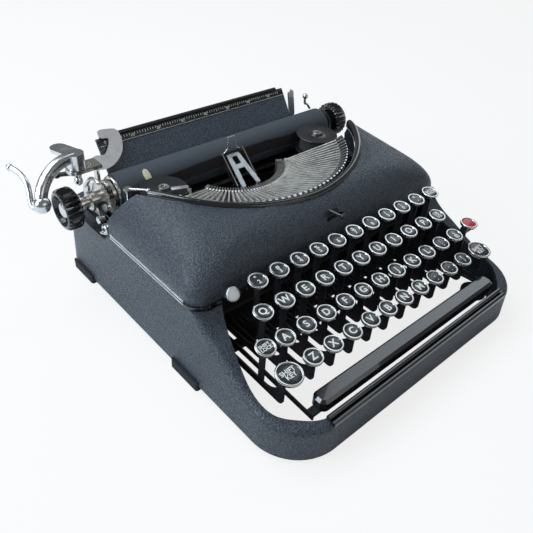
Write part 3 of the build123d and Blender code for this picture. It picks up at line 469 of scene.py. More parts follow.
def plate(name, outline, thickness, matrix, bevel=0.25):
    """A flat piece from (x, y) points in millimetres, its edges eased, put in place by a matrix."""
    work = bmesh.new()
    base = [work.verts.new((x * MM, y * MM, 0)) for x, y in outline]
    face = work.faces.new(base)
    grown = bmesh.ops.extrude_face_region(work, geom=[face])["geom"]
    bmesh.ops.translate(work, verts=[v for v in grown if isinstance(v, bmesh.types.BMVert)], vec=(0, 0, thickness * MM))
    bmesh.ops.recalc_face_normals(work, faces=work.faces)
    if bevel:
        edges = [e for e in work.edges if len(e.link_faces) == 2 and e.calc_face_angle(0) > 0.7]
        bmesh.ops.bevel(work, geom=edges, offset=bevel * MM, segments=2, affect="EDGES", profile=0.6)
    work.transform(matrix)
    return bare_mesh(name, work)


def lettering(name, words, size, matrix, depth=0.02, bold=0.0):
    """Raised print: size is the capital's height in millimetres, bold what each stroke gains a side."""
    text = bpy.data.curves.new(name, "FONT")
    text.body = words
    text.size = size * MM / 0.7
    text.align_x = "CENTER"
    text.align_y = "CENTER"
    text.space_line = 0.8
    text.extrude = depth * MM
    text.offset = bold * MM
    text.resolution_u = 4
    return from_curve(name, text, matrix)


def solids_of(node):
    """The separate solids of a CAD node, as new meshes in the frame, largest box first."""
    source = frame["nodes"][node]
    work = bmesh.new()
    work.from_mesh(source.data)
    work.transform(source.matrix_world)
    bmesh.ops.remove_doubles(work, verts=work.verts, dist=1e-7)
    left = set(work.verts)
    groups = []
    while left:
        seed = left.pop()
        group, queue = {seed}, [seed]
        while queue:
            for edge in queue.pop().link_edges:
                for v in edge.verts:
                    if v in left:
                        left.discard(v)
                        group.add(v)
                        queue.append(v)
        groups.append(group)
    made = []
    for group in groups:
        piece = bmesh.new()
        twin = {v: piece.verts.new(v.co) for v in group}
        for f in {f for v in group for f in v.link_faces}:
            piece.faces.new([twin[v] for v in f.verts])
        low = Vector([min(v.co[i] for v in group) for i in range(3)])
        high = Vector([max(v.co[i] for v in group) for i in range(3)])
        made.append((bare_mesh(node + "_solid", piece), low, high))
    work.free()
    return sorted(made, key=lambda m: -(m[2] - m[1]).length)


def facing(place, direction):
    """A matrix that puts +Z along a direction at a place."""
    return Matrix.Translation(place) @ Vector(direction).to_track_quat("Z", "Y").to_matrix().to_4x4()


def screw(name, place, direction, radius, body, finish_name="nickel", slot_turn=0.5, height=1.2):
    """A slotted cheese-head screw, its seat at the place."""
    r, h = radius, height
    head = turned(name, [(0, 0), (r * 0.98, 0), (r, 0.1), (r, h - 0.35), (r - 0.35, h), (0, h)], 28)
    work = bmesh.new()
    work.from_mesh(head)
    turn = Matrix.Rotation(slot_turn, 4, "Z")
    for side in (-1, 1):
        normal = turn.to_3x3() @ Vector((0, side, 0))
        edge = normal * 0.16 * r * MM
        bmesh.ops.bisect_plane(work, geom=work.verts[:] + work.edges[:] + work.faces[:], plane_co=edge, plane_no=normal)
    for v in work.verts:
        across = abs((turn.inverted().to_3x3() @ v.co).y)
        if v.co.z > (h - 0.05) * MM and across < 0.12 * r * MM:
            v.co.z -= 0.5 * MM
    work.transform(facing(place, direction))
    mesh = bare_mesh(name, work)
    bpy.data.meshes.remove(head)
    return show(name, mesh, finish_name, body, smooth=30)


# ---------------------------------------------------------------- what a user may change
class TypewriterSettings(bpy.types.PropertyGroup):
    enamel_color: bpy.props.FloatVectorProperty(
        name="Enamel", description="Colour of the wrinkle enamel on the casing",
        subtype="COLOR", size=3, min=0.0, max=1.0, default=(0.021, 0.027, 0.036))
    key_color: bpy.props.FloatVectorProperty(
        name="Key card", description="Colour of the card under the key glasses",
        subtype="COLOR", size=3, min=0.0, max=1.0, default=(0.018, 0.026, 0.032))
    key_radius: bpy.props.FloatProperty(
        name="Key radius", description="Outer radius of a typing key's ring",
        unit="LENGTH", min=0.004, max=0.012, default=0.0072)
    legend_height: bpy.props.FloatProperty(
        name="Legend height", description="Height of a single capital on a key",
        unit="LENGTH", min=0.002, max=0.008, default=0.0054)
    numeral_height: bpy.props.FloatProperty(
        name="Scale numerals", description="Height of the numerals on the paper scale",
        unit="LENGTH", min=0.001, max=0.004, default=0.0026)
    floor_color: bpy.props.FloatVectorProperty(
        name="Floor", description="Colour of the floor and backdrop",
        subtype="COLOR", size=3, min=0.0, max=1.0, default=(0.93, 0.93, 0.93))


class TypewriterOperator:
    """What every making step has in common."""
    bl_options = {"REGISTER", "UNDO"}

    def execute(self, context):
        self.make(context.scene.typewriter)
        return {"FINISHED"}


def dress(node, body, choose):
    """Shows a node's own solids as pieces, each in the finish that choose(k, low, high) names."""
    pieces = []
    for k, (mesh, low, high) in enumerate(solids_of(node)):
        kind = choose(k, low, high)
        if kind is None:
            bpy.data.meshes.remove(mesh)
            continue
        pieces.append(show(f"{node}_{k}", mesh, kind, body, smooth=28))
    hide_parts(node)
    return pieces


def size_of(low, high):
    return [(h - l) / MM for l, h in zip(low, high)]


def accent(piece, finish_name, low, high):
    """Gives the faces whose middles lie between two places a second finish."""
    mesh = piece.data
    mesh.materials.append(finish(finish_name))
    for face in mesh.polygons:
        if all(l <= c <= h for l, c, h in zip(low, face.center, high)):
            face.material_index = 1


def across(x, y, z):
    """A matrix that lays a turned piece along the machine's X, its height counted from X = x."""
    return facing(at(x, y, z), (1, 0, 0))


def ball_lever(name, points, radius, ball_radius, body, finish_name="nickel"):
    """A thin bent lever through places in millimetres, with a ball on its last point."""
    places = [at(*p) for p in points]
    show(name, wire(name, places, radius), finish_name, body)
    tip = Matrix.Translation(places[-1])
    profile = [(ball_radius * math.sin(math.pi * k / 12), -ball_radius * math.cos(math.pi * k / 12)) for k in range(13)]
    profile[0], profile[-1] = (0, -ball_radius), (0, ball_radius)
    show(name + "_ball", turned(name + "_ball", profile, 28, tip), finish_name, body)


def met(node, place, direction):
    """Where a line from a place first meets a CAD node, and the surface's normal there."""
    source = frame["nodes"][node]
    corners = [source.matrix_world @ v.co for v in source.data.vertices]
    tree = BVHTree.FromPolygons(corners, [list(face.vertices) for face in source.data.polygons])
    spot, normal, _, _ = tree.ray_cast(Vector(place), Vector(direction))
    return spot, normal if normal.dot(direction) < 0 else -normal


# ---------------------------------------------------------------- casing
class MakeCasing(TypewriterOperator, bpy.types.Operator):
    """Enamels the base and cover and finishes their black and bright trim"""
    bl_idname = "typewriter.casing"
    bl_label = "Casing"

    def make(self, settings):
        self.base()
        self.cover()
        dress("rubber_feet", "frame", lambda k, low, high: "foot_rubber")

    def base(self):
        def choose(k, low, high):
            return "enamel" if size_of(low, high)[2] > 20 else "black_lacquer"
        dress("base_frame", "frame", choose)

    def cover(self):
        def choose(k, low, high):
            width, depth, height = size_of(low, high)
            if k == 0:
                return "enamel"
            if width > 150:
                return "black_lacquer"
            return "satin_nickel"
        dress("top_cover", "frame", choose)


# ---------------------------------------------------------------- keyboard
LEGENDS = {
    "2": '"\n2', "3": "#\n3", "4": "$\n4", "5": "%\n5", "6": "_\n6", "7": "&\n7", "8": "'\n8", "9": "(\n9",
    "0": ")\n0", "hyphen": "*\n-", "half": "1/4\n1/2", "semicolon": ":\n;", "at": "c\n@", "comma": ",\n,",
    "period": ".\n.", "slash": "?\n/",
}
DISH = 0.7


def ring_profile(radius):
    """Rolled nickel ring with its skirt, from the cup's foot up and over to the glass."""
    r = radius
    return [(0, -3.5), (r * 0.62, -3.5), (r * 0.8, -3.3), (r - 0.55, -2.7), (r - 0.25, -2.1), (r - 0.12, -1.2),
            (r, -0.75), (r, -0.35), (r - 0.16, -0.08), (r - 0.45, 0.0), (r - 1.15, 0.0), (r - 1.45, -0.1),
            (r - 1.62, -0.35), (r - 1.68, -0.8)]


def glass_profile(radius):
    r = radius - 1.69
    return [(r, -0.8), (r * 0.985, -0.52), (r * 0.9, -0.36), (r * 0.7, -0.24), (r * 0.4, -0.16), (0, -0.13)]


class MakeKeyboard(TypewriterOperator, bpy.types.Operator):
    """Builds the ringed keys with their glasses and legends, the space bar and the levers"""
    bl_idname = "typewriter.keyboard"
    bl_label = "Keyboard"

    def make(self, settings):
        self.radius = settings.key_radius / MM
        self.size = settings.legend_height / MM
        self.rings = {}
        for node in frame["nodes"]:
            if node.startswith("key_"):
                self.typing_key(node)
        self.single("backspace_key", "backspace_key", "BACK\nSPACE")
        self.single("margin_release_key", "margin_release_key", "", "red_card")
        self.shift_keys()
        dress("space_bar", "space_bar", self.space_finish)

    @staticmethod
    def space_finish(k, low, high):
        return "black_lacquer" if size_of(low, high)[0] > 150 else "black_steel"

    def cap(self, name, place, radius, body, card="key_card"):
        """Ring and glass of one key whose top centre is the place."""
        lean = Matrix.Translation(place) @ Matrix.Rotation(KEY_TILT, 4, "X")
        for part, profile, kind in (("ring", ring_profile, "key_nickel"), ("glass", glass_profile, card)):
            key = (part, round(radius, 2), kind)
            if key not in self.rings:
                self.rings[key] = turned(part, profile(radius), 40)
            mesh = self.rings[key].copy()
            mesh.transform(lean)
            show(f"{name}_{part}", mesh, kind, body)
        return lean

    def legend(self, name, words, lean, body, size):
        if not words:
            return
        up = lean @ Matrix.Translation((0, 0, -0.16 * MM))
        show(name + "_legend", lettering(name, words, size, up, 0.05, 0.035 * size), "white_ink", body, smooth=0)

    def rings_of(self, node):
        """Top centres and radii of the node's key rings, and its lever solids."""
        tops, levers = [], []
        for mesh, low, high in solids_of(node):
            width, depth, height = size_of(low, high)
            if height < 8 and (abs(width - 2 * self.radius) < 0.2 or 19 < width < 19.4):
                tops.append((mesh, low, high, width / 2))
            else:
                levers.append(mesh)
        found = []
        for mesh, low, high, radius in tops:
            middle = (low + high) / 2
            drop = 0.5 * 3.6 * MM
            found.append((middle + Vector((0, -drop * math.sin(KEY_TILT), drop * math.cos(KEY_TILT))), radius))
            bpy.data.meshes.remove(mesh)
        return found, levers

    def levers(self, node, levers, body):
        pieces = [show(f"{node}_lever_{k}", mesh, "black_steel", body, smooth=28) for k, mesh in enumerate(levers)]
        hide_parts(node)

    def typing_key(self, node):
        mark = node[4:]
        words = LEGENDS.get(mark, mark.upper())
        size = self.size if len(words) == 1 else self.size * 0.6
        self.single(node, node, words, size=size)

    def single(self, node, body, words, card="key_card", size=None):
        found, levers = self.rings_of(node)
        for place, radius in found:
            lean = self.cap(node, place, radius, body, card)
            self.legend(node, words, lean, body, size or self.size * 0.44)
        self.levers(node, levers, body)

    def shift_keys(self):
        found, levers = self.rings_of("shift_keys")
        for k, (place, radius) in enumerate(found):
            words = "SHIFT\nLOCK" if radius < 8 else "SHIFT\nKEY"
            lean = self.cap(f"shift_{k}", place, radius, "shift_yoke")
            self.legend(f"shift_{k}", words, lean, "shift_yoke", self.size * (0.46 if radius < 8 else 0.62))
        self.levers("shift_keys", levers, "shift_yoke")


# ---------------------------------------------------------------- type basket
class MakeTypeBasket(TypewriterOperator, bpy.types.Operator):
    """Finishes the segment, the type bars, the guide, the ribbon and its spools"""
    bl_idname = "typewriter.type_basket"
    bl_label = "Type basket"

    def make(self, settings):
        bars = dress("type_basket", "frame", lambda k, low, high: "steel" if k == 0 else "bar_steel")
        bars += dress("moving_typebar", "type_bar_h", lambda k, low, high: "bar_steel")
        for bar in bars:
            self.slug(bar)
        dress("ribbon_carrier", "ribbon_fork", lambda k, low, high: "nickel")
        self.inner_frame()
        self.spools()
        self.ribbon()
        self.fittings()

    def slug(self, bar):
        """The type slug at a bar's outer end is plated; the bar between is bare steel."""
        centre = at(0, 226, 0)
        bar.data.materials.append(finish("chrome"))
        far = max((v.co.xy - centre.xy).length for v in bar.data.vertices)
        for face in bar.data.polygons:
            if (face.center.xy - centre.xy).length > far - 6.5 * MM and face.center.z > at(0, 0, 92).z:
                face.material_index = 1

    def inner_frame(self):
        def choose(k, low, high):
            width, depth, height = size_of(low, high)
            if 12 < height < 13.5 and 60 < width < 70:
                return None
            if 200 < width < 225 and height < 4 and depth < 7:
                return "felt"
            if 19 < width < 21:
                return "guide_plate"
            if 31 < width < 33:
                return "nickel"
            return "steel" if 39 < width < 41 else "black_steel"
        dress("inner_frame", "frame", choose)

    def spools(self):
        for side in ("left", "right"):
            node = side + "_spool"
            low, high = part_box(node)
            middle = (Vector(low) + Vector(high)) / 2
            radius = (high[0] - low[0]) / 2 / MM
            top = high[2] / MM - 1.6
            foot = low[2] / MM
            body = side + "_reel"
            place = Matrix.Translation((middle.x, middle.y, 0))
            r = radius
            upper = [(2.2, top - 1.2), (5.0, top - 0.9), (r - 1.2, top - 0.9), (r - 0.3, top - 0.8), (r, top - 0.45),
                     (r - 0.4, top - 0.1), (r - 1.6, top - 0.25), (r * 0.7, top - 0.45), (6.2, top - 0.4),
                     (5.6, top), (5.0, top + 1.0), (4.2, top + 1.5), (1.6, top + 1.6), (1.2, top + 1.2), (0, top + 1.2)]
            lower = [(2.2, foot), (r - 0.5, foot), (r, foot + 0.4), (r - 0.4, foot + 0.8), (5.2, foot + 0.9),
                     (5.0, foot + 1.2), (5.0, top - 1.2), (2.2, top - 1.2)]
            flange = show(node + "_upper", turned(node, upper, 64, place), "spool_black", body)
            show(node + "_lower", turned(node, lower, 64, place), "spool_black", body)
            hub = [(4.4, top + 1.3), (4.1, top + 1.58), (2.0, top + 1.6), (1.4, top + 1.3), (0, top + 1.25)]
            show(node + "_hub", turned(node, hub, 40, place), "nickel", body)
            wound = [(5.2, foot + 1.1)]
            for k in range(24):
                wound += [(r - 4.2, foot + 1.15 + k * 0.5), (r - 4.0, foot + 1.4 + k * 0.5)]
            wound += [(5.2, top - 1.1)]
            show(node + "_winding", turned(node, wound, 48, place), "ribbon_cloth", body, smooth=20)
            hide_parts(node)

    def fittings(self):
        """Ribbon reverse levers, spool latches, the colour selector and the small levers by the keys."""
        foot = [(0, 47), (1.9, 47), (1.9, 95.4), (3.3, 95.6), (3.5, 96.4), (3.1, 97.4), (0, 97.8)]
        show("reverse_post", turned("reverse_post", foot, 32, Matrix.Translation(at(-109.0, 219.2, 0))), "chrome", "frame")
        ball_lever("reverse_lever", [(-109.0, 219.2, 96.4), (-103.6, 213.2, 97.2), (-98.4, 207.6, 97.2)], 1.3, 1.9, "frame")
        latch = [(-6.0, -2.3), (6.0, -1.9), (7.2, 0), (6.0, 1.9), (-6.0, 2.3), (-7.0, 0)]
        place = Matrix.Translation(at(-76.5, 198.4, 96.4)) @ Matrix.Rotation(math.radians(-20), 4, "Z")
        show("spool_latch", plate("spool_latch", latch, 0.8, place, 0.25), "satin_nickel", "frame")
        post = [(0, 47), (1.6, 47), (1.6, 96.4), (0, 96.4)]
        show("spool_latch_post", turned("spool_latch_post", post, 24, Matrix.Translation(at(-71.4, 193.0, 0))), "nickel", "frame")
        # A black oval sheet on the cover over the colour selector slot: painted shade of the slot's opening.
        spot, normal = met("top_cover", at(0, 60, 90.4), (0, 1, 0))
        oval = [(8.6 * math.cos(a), 2.6 * math.sin(a)) for a in (2 * math.pi * k / 36 for k in range(36))]
        show("selector_slot_shade", plate("selector_slot_shade", oval, 0.35, facing(spot - normal * 0.1 * MM, normal), 0.1), "scale_black", "frame")
        self.side_latch()
        ball_lever("selector", [(0, 112, 92.0), (0.6, 104, 92.2), (1.2, 99.6, 92.6)], 1.1, 2.2, "frame", "spool_black")

    def side_latch(self):
        """Slotted bracket and plated cap at the cover's left rear corner."""
        upright = Matrix((Vector((0, 1, 0)), Vector((0, 0, 1)), Vector((1, 0, 0)))).transposed().to_4x4()
        low = [(213.6, 59.4), (229.0, 59.4), (229.4, 61.6), (224.0, 66.8), (218.0, 71.4), (213.6, 72.0)]
        place = Matrix.Translation(at(-130.8, 0, 0)) @ upright
        show("latch_bracket", plate("latch_bracket", low, 2.0, place, 0.4), "black_steel", "frame")
        for k, drop in enumerate((0.0, 3.4)):
            rod = [at(-131.2, 228.4, 61.0 - drop * 0.2), at(-131.4, 221.0, 66.8 - drop), at(-131.2, 215.0, 70.6 - drop)]
            show(f"latch_rod_{k}", wire("latch_rod", rod, 0.55), "chrome", "frame")
        cap = [(0, -133.4), (3.2, -133.3), (3.9, -132.7), (3.9, -131.0), (4.3, -130.8), (4.3, -126.4), (3.8, -126.0), (0, -126.0)]
        show("latch_cap", turned("latch_cap", cap, 40, across(0, 217.6, 70.4)), "chrome", "frame")
        screw("latch_screw", at(-133.4, 217.6, 70.4), (-1, 0, 0), 1.6, "frame", "dark_steel", 0.9, 0.5)

    def ribbon(self):
        """The ribbon runs from spool to spool past the guide's back."""
        left = Vector(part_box("left_spool")[0]) + Vector(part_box("left_spool")[1])
        right = Vector(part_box("right_spool")[0]) + Vector(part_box("right_spool")[1])
        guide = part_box("ribbon_carrier")[1]
        middle_z = at(0, 0, 86.5).z
        half = 6.2 * MM
        start, end = left.x / 2 + 4 * MM, right.x / 2 - 4 * MM
        spool_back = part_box("left_spool")[1][1] - 2.4 * MM
        near = at(0, 229.6, 0).y
        work = bmesh.new()
        rows, steps = 7, 160
        grid = []
        for i in range(steps + 1):
            t = i / steps
            x = start + (end - start) * t
            away = abs(2 * t - 1)
            y = near + (spool_back - near) * away ** 1.2
            sag = 0.5 * MM * math.sin(math.pi * 2 * min(away, 1)) ** 2
            grid.append([work.verts.new((x, y + 0.12 * MM * math.sin(j * 1.3 + 20 * t), middle_z - sag + half * (j / (rows - 1) * 2 - 1)))
                         for j in range(rows)])
        for a, b in zip(grid, grid[1:]):
            for j in range(rows - 1):
                work.faces.new((a[j], b[j], b[j + 1], a[j + 1]))
        mesh = bare_mesh("ribbon", work)
        piece = show("ribbon", mesh, "ribbon_cloth", "frame")
        thick = piece.modifiers.new("thickness", "SOLIDIFY")
        thick.thickness = 0.12 * MM


# ---------------------------------------------------------------- carriage
class MakeCarriage(TypewriterOperator, bpy.types.Operator):
    """Finishes the rails, end plates, platen, knobs, paper table, scale and return lever"""
    bl_idname = "typewriter.carriage"
    bl_label = "Carriage"

    def make(self, settings):
        dress("shift_rails", "shift_frame", lambda k, low, high: "steel")
        self.frame()
        dress("return_lever", "line_lever", lambda k, low, high: "chrome")
        self.platen()
        self.paper_table(settings)
        self.scale(settings)
        self.left_works()

    def frame(self):
        plates = dress("carriage_frame", "carriage", lambda k, low, high: "black_steel")[0]
        accent(plates, "nickel", at(-140, 250, 98.5), at(-111, 275, 103))
        mesh = plates.data
        for face in mesh.polygons:
            if face.center.x < at(-109.5, 0, 0).x and face.center.z > at(0, 0, 64).z:
                face.material_index = 1

    def platen(self):
        """The shaft, rubber roller, ratchet and fluted knobs, all turned about one axis."""
        low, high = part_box("platen")
        y, z = [((low[i] + high[i]) / 2 - at(0, 0, 0)[i]) / MM for i in (1, 2)]
        line = across(0, y, z)
        body = "platen_roller"
        shaft = [(0, -147), (3.9, -147), (3.9, 147), (0, 147)]
        piece = show("platen_shaft", turned("platen_shaft", shaft, 32, line), "nickel", body)
        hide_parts("platen")
        roller = [(4, -106), (13.6, -106), (14.9, -105.9), (15.4, -105.4), (15.5, -104.6), (15.5, 124.6), (15.4, 125.4),
                  (14.9, 125.9), (13.6, 126), (4, 126)]
        show("platen_rubber", turned("platen_rubber", roller, 96, line), "platen_rubber", body)
        collar = [(4, -109), (13.2, -109), (14.2, -108.6), (14.4, -108), (14.4, -107), (14.0, -106.2), (4, -106.1)]
        show("platen_collar", turned("platen_collar", collar, 64, line), "nickel", body)
        ratchet = [(4, -119.5), (10.2, -119.5), (12.8, -119.3), (12.8, -116.7), (10.2, -116.5), (4, -116.5)]
        wheel = turned("ratchet", ratchet, 180, line, 30, 1.3, 11.0)
        show("ratchet", wheel, "nickel", body, smooth=25)
        hub = [(4, -138.9), (6.4, -138.6), (6.6, -138), (6.6, -134.5), (4.6, -134), (4.6, -129.4), (7.0, -129), (7.4, -128.5),
               (7.4, -124.4), (6.2, -124), (6.2, -119.6), (4, -119.5)]
        show("platen_hub", turned("platen_hub", hub, 40, line), "nickel", body)
        stub = [(4, 132.6), (6.2, 132.8), (6.2, 136), (5.0, 136.3), (5.0, 138.8), (4, 139)]
        show("platen_stub", turned("platen_stub", stub, 40, line), "nickel", body)
        for side in (-1, 1):
            self.knob(side, across(0, y, z), body)

    def knob(self, side, line, body):
        """A fluted moulding with a domed plated disc let into its face."""
        face, deep, r = 153, 14, 16.5
        moulding = [(4, 0), (11.5, 0), (13.8, 0.5), (15.6, 1.6), (r, 2.8), (r, deep - 3.4), (15.9, deep - 1.8),
                    (14.6, deep - 0.6), (13.4, deep - 0.1), (12.4, deep - 0.2), (11.8, deep - 1.0), (11.2, deep - 3.6),
                    (10.6, deep - 4.6), (0, deep - 4.8)]
        disc = [(6.9, deep - 4.8), (6.8, deep - 3.4), (6.2, deep - 2.4), (4.8, deep - 1.5), (2.6, deep - 0.95),
                (0, deep - 0.8)]
        for name, profile, kind, flutes in (("knob", moulding, "knob_black", 24), ("knob_disc", disc, "chrome", 0)):
            points = [(radius, side * (face - deep + height)) for radius, height in profile]
            mesh = turned(name, points, 144, line, flutes, 1.8, 14.9)
            show(f"{name}_{'left' if side < 0 else 'right'}", mesh, kind, body, smooth=30)

    def paper_table(self, settings):
        def choose(k, low, high):
            # The table's big solid takes the painted lighter copy of the casing enamel.
            return "lit_table_enamel" if size_of(low, high)[0] > 100 else "satin_nickel"
        table = dress("paper_table", "carriage", choose)[0]
        accent(table, "scale_black", at(-110, 270, 107.6), at(110, 290, 120))

    def table_face(self, x, up, out):
        """A place in front of the table: up its slope from the bend and out from its face."""
        slope = Vector((0, 16.5, 25.0)).normalized()
        away = Vector((0, -slope.z, slope.y))
        return at(x, 265.5, 84.0) + (slope * up + away * out) * MM

    def scale(self, settings):
        """Printed paper scale along the table's rolled edge, and the line under it."""
        slope = Vector((0, 16.5, 25.0)).normalized()
        away = Vector((0, -slope.z, slope.y))
        basis = Matrix((Vector((1, 0, 0)), slope, away)).transposed().to_4x4()
        strip = [(-99.5, 0), (104.5, 0), (104.5, 4.4), (-99.5, 4.4)]
        place = Matrix.Translation(self.table_face(0, 24.0, 0.05)) @ basis
        show("scale_strip", plate("scale_strip", strip, 0.3, place, 0.08), "scale_black", "carriage")
        work = bmesh.new()
        count = 76
        for k in range(count):
            x = -93.0 + k * 2.54
            if k % 10:
                tall = 2.6 if k % 5 == 0 else 1.8
                corners = [(x - 0.3, 4.2 - tall), (x + 0.3, 4.2 - tall), (x + 0.3, 4.2), (x - 0.3, 4.2)]
                work.faces.new([work.verts.new((a * MM, b * MM, 0.36 * MM)) for a, b in corners])
        work.transform(place)
        show("scale_ticks", bare_mesh("scale_ticks", work), "white_ink", "carriage", smooth=0)
        for k in range(0, count, 10):
            spot = Matrix.Translation(self.table_face(-93.0 + k * 2.54, 26.2, 0.4)) @ basis
            mesh = lettering(f"scale_{k}", str(k), settings.numeral_height / MM, spot, 0.02, 0.08)
            show(f"scale_{k}", mesh, "white_ink", "carriage", smooth=0)
        line = [self.table_face(x, 23.7, 0.25) for x in (-99.0, 0.0, 104.0)]
        show("scale_line", wire("scale_line", line, 0.35), "chrome", "carriage")

    def left_works(self):
        """Line-space pawl, its links and rods between the left end plate and the knob."""
        body = "carriage"
        show("pivot_ball", turned("pivot_ball", [(0, 86.6), (1.8, 87.0), (3.2, 88.6), (3.5, 90.2), (3.2, 91.8), (2.2, 93.2),
                                                 (2.2, 98.9), (0, 98.9)], 32, Matrix.Translation(at(-128, 262, 0))), "chrome", body)
        side = Matrix.Translation(at(-122.0, 0, 0)) @ Matrix((Vector((0, 1, 0)), Vector((0, 0, 1)), Vector((1, 0, 0)))).transposed().to_4x4()
        kidney = [(270.5, 78.5), (268.5, 83.0), (264.5, 84.6), (260.8, 82.5), (261.5, 78.8), (264.8, 76.4), (264.0, 72.8),
                  (266.8, 70.4), (270.2, 72.4)]
        show("pawl_cam", plate("pawl_cam", kidney, 2.2, side, 0.5), "chrome", body)
        show("pawl_arm", wire("pawl_arm", [at(-121, 266, 81), at(-121.5, 259, 91), at(-121, 250, 95.6), at(-120.2, 244, 93.6)], 1.7),
             "nickel", body)
        block = [(240.0, 84.6), (250.5, 84.6), (251.2, 88.0), (248.4, 93.2), (241.5, 93.2), (239.4, 89.0)]
        inner = Matrix.Translation(at(-116.2, 0, 0)) @ side.to_3x3().to_4x4()
        show("detent_block", plate("detent_block", block, 3.5, inner, 0.6), "nickel", body)
        for k, (y, z) in enumerate(((242.4, 88.0), (245.4, 89.8), (248.4, 88.2))):
            screw(f"detent_screw_{k}", at(-116.2, y, z), (-1, 0, 0), 1.15, body, "dark_steel", 0.4 + k, 0.5)
        show("release_rod", wire("release_rod", [at(-113.6, 262, 97.6), at(-119, 264, 97.4), at(-124.8, 268, 95.2), at(-126.4, 270, 90)], 1.3),
             "nickel", body)
        ball_lever("release_lever", [(-124, 268, 92.5), (-131, 274, 92.6), (-138.6, 277.4, 91.6)], 1.9, 2.8, body, "dark_steel")
        low_link = Matrix.Translation(at(-124.6, 0, 0)) @ side.to_3x3().to_4x4()
        drop = [(238.6, 76.4), (243.2, 75.4), (240.2, 69.2), (233.6, 66.8), (229.8, 68.8), (230.4, 72.4), (234.4, 73.4)]
        show("drop_link", plate("drop_link", drop, 1.8, low_link, 0.4), "black_steel", body)
        hook = [(256.8, 77.0), (259.4, 73.6), (255.4, 67.4), (249.6, 66.9), (249.2, 69.4), (253.8, 70.4), (255.4, 74.2)]
        show("hook_link", plate("hook_link", hook, 1.6, low_link, 0.4), "chrome", body)
        roller = [(0, -130.4), (2.6, -130.4), (3.1, -129.9), (3.1, -126.0), (2.4, -125.6), (2.4, -122.4), (0, -122.2)]
        show("nose_roller", turned("nose_roller", roller, 32, across(0, 232.4, 69.6)), "chrome", body)
        screw("drop_screw", at(-124.7, 240.6, 73.4), (-1, 0, 0), 1.7, body, "nickel", 0.8, 0.9)
        screw("bracket_screw", at(-119.0, 261.0, 102.0), (0, 0, 1), 2.2, body, "chrome", 0.7, 1.0)
        ball_lever("right_release", [(127.4, 262.0, 90.0), (120.0, 259.0, 97.6), (112.4, 256.0, 100.0), (112.0, 255.0, 108.2)],
                   1.2, 2.7, body, "chrome")
        finger = [(-84.0, 0), (-78.6, 0), (-78.2, 4.0), (-79.2, 8.2), (-81.3, 9.4), (-83.4, 8.2), (-84.4, 4.0)]
        lean = Matrix.Rotation(math.radians(38), 4, "X")
        show("paper_finger", plate("paper_finger", finger, 0.5, Matrix.Translation(at(0, 234.4, 89.0)) @ lean, 0.15),
             "cream_card", body)


# ---------------------------------------------------------------- stage
LENS = 39.0
CAMERA_PLACE = (-290.4, -124.6, 325.0)
CAMERA_YAW = math.radians(44.0)
CAMERA_PITCH = math.radians(38.07)
CAMERA_ROLL = math.radians(4.2)


def area_lamp(name, place, target, size, power, tint=(1.0, 1.0, 1.0)):
    lamp = bpy.data.lights.new(name, "AREA")
    lamp.shape = "RECTANGLE"
    lamp.size, lamp.size_y = size
    lamp.energy = power
    lamp.color = tint
    holder = bpy.data.objects.new(name, lamp)
    bpy.context.collection.objects.link(holder)
    holder.matrix_world = facing(Vector(place), Vector(place) - Vector(target))
    return holder


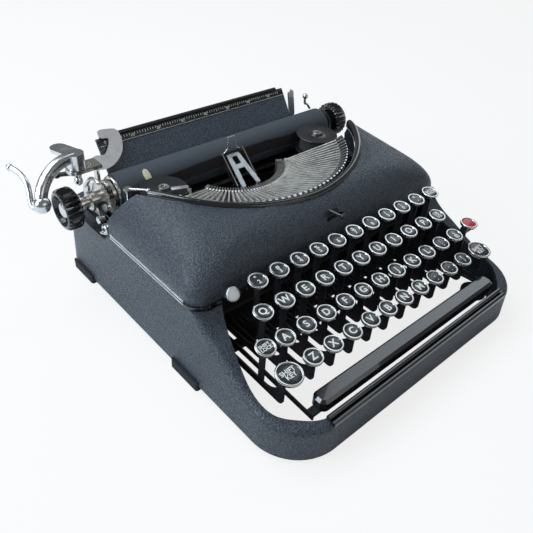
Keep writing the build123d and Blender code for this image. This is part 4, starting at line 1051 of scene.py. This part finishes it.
class MakeStage(TypewriterOperator, bpy.types.Operator):
    """Sets the floor, the soft lamps and the camera"""
    bl_idname = "typewriter.stage"
    bl_label = "Stage"

    def make(self, settings):
        self.floor(settings.floor_color)
        self.lamps()
        self.camera()
        bpy.context.scene.view_settings.view_transform = "Standard"

    def floor(self, color):
        work = bmesh.new()
        bmesh.ops.create_grid(work, x_segments=8, y_segments=8, size=14.0)
        mesh = bare_mesh("floor", work)
        paper = Finish("floor_paper", tuple(color), 0.9)
        tone = paper.noise(6, 3.0)
        base = paper.mix(tone, shaded(color, 0.99), shaded(color, 1.01))
        paper.set("Base Color", base)
        seen = paper.node("ShaderNodeLightPath", {}, out="Is Camera Ray")
        glow = paper.node("ShaderNodeEmission", {}, (1.0, 1.0, 1.0, 1.0), 1.0)
        blend = paper.node("ShaderNodeMixShader", {})
        mixer = blend.link.node
        mixer.inputs[0].default_value = 0.0
        paper.links.new((seen * 0.8).link, mixer.inputs[0])
        paper.links.new(paper.shader.outputs[0], mixer.inputs[1])
        paper.links.new(glow.link, mixer.inputs[2])
        output = next(n for n in paper.nodes if n.type == "OUTPUT_MATERIAL")
        paper.links.new(blend.link, output.inputs["Surface"])
        mesh.materials.append(paper.material)
        floor = bpy.data.objects.new("floor", mesh)
        bpy.context.collection.objects.link(floor)

    def lamps(self):
        target = (0, 0, 0.06)
        area_lamp("sky_panel", (-0.4, 0.7, 1.5), target, (1.4, 1.1), 17.0, (0.84, 0.93, 1.0))
        area_lamp("left_panel", (-1.5, 0.4, 0.9), target, (0.8, 0.8), 15.0, (0.78, 0.9, 1.0))
        area_lamp("back_panel", (1.35, 0.5, 1.1), target, (0.5, 1.8), 4.0, (0.84, 0.93, 1.0))
        area_lamp("front_panel", (0.3, -1.3, 0.9), target, (1.2, 0.7), 2.0)
        world = bpy.data.worlds.new("studio")
        bpy.context.scene.world = world
        world.use_nodes = True
        nodes, links = world.node_tree.nodes, world.node_tree.links
        background = nodes["Background"]
        background.inputs["Color"].default_value = (1.0, 1.0, 1.0, 1.0)
        path = nodes.new("ShaderNodeLightPath")
        direct = nodes.new("ShaderNodeMath")
        direct.operation = "MAXIMUM"
        links.new(path.outputs["Is Camera Ray"], direct.inputs[0])
        links.new(path.outputs["Is Transmission Ray"], direct.inputs[1])
        level = nodes.new("ShaderNodeMapRange")
        level.inputs["To Min"].default_value = 0.17
        level.inputs["To Max"].default_value = 1.0
        links.new(direct.outputs[0], level.inputs["Value"])
        links.new(level.outputs[0], background.inputs["Strength"])

    def camera(self):
        cos_p, sin_p = math.cos(CAMERA_PITCH), math.sin(CAMERA_PITCH)
        forward = Vector((math.sin(CAMERA_YAW) * cos_p, math.cos(CAMERA_YAW) * cos_p, -sin_p))
        level = forward.cross(Vector((0, 0, 1))).normalized()
        upright = level.cross(forward)
        right = level * math.cos(CAMERA_ROLL) + upright * math.sin(CAMERA_ROLL)
        up = upright * math.cos(CAMERA_ROLL) - level * math.sin(CAMERA_ROLL)
        lens = bpy.data.cameras.new("camera")
        lens.lens = LENS
        lens.sensor_width = 36.0
        lens.clip_start = 0.01
        camera = bpy.data.objects.new("camera", lens)
        bpy.context.collection.objects.link(camera)
        turn = Matrix((right, up, -forward)).transposed().to_4x4()
        camera.matrix_world = Matrix.Translation(at(*CAMERA_PLACE)) @ turn
        bpy.context.scene.camera = camera


OPERATORS = (MakeStage, MakeCasing, MakeKeyboard, MakeTypeBasket, MakeCarriage)


class TypewriterPanel(bpy.types.Panel):
    """Lists the making steps and the sizes and colours"""
    bl_idname = "VIEW3D_PT_typewriter"
    bl_label = "Typewriter"
    bl_space_type = "VIEW_3D"
    bl_region_type = "UI"
    bl_category = "Typewriter"

    def draw(self, context):
        settings = context.scene.typewriter
        for name in TypewriterSettings.__annotations__:
            self.layout.prop(settings, name)
        for operator in OPERATORS:
            self.layout.operator(operator.bl_idname)


CLASSES = (TypewriterSettings, *OPERATORS, TypewriterPanel)


def register():
    for made in CLASSES:
        bpy.utils.register_class(made)
    bpy.types.Scene.typewriter = bpy.props.PointerProperty(type=TypewriterSettings)


def unregister():
    del bpy.types.Scene.typewriter
    for made in reversed(CLASSES):
        bpy.utils.unregister_class(made)


def main():
    register()
    for operator in OPERATORS:
        group, step = operator.bl_idname.split(".")
        getattr(getattr(bpy.ops, group), step)()


if __name__ == "__main__":
    main()
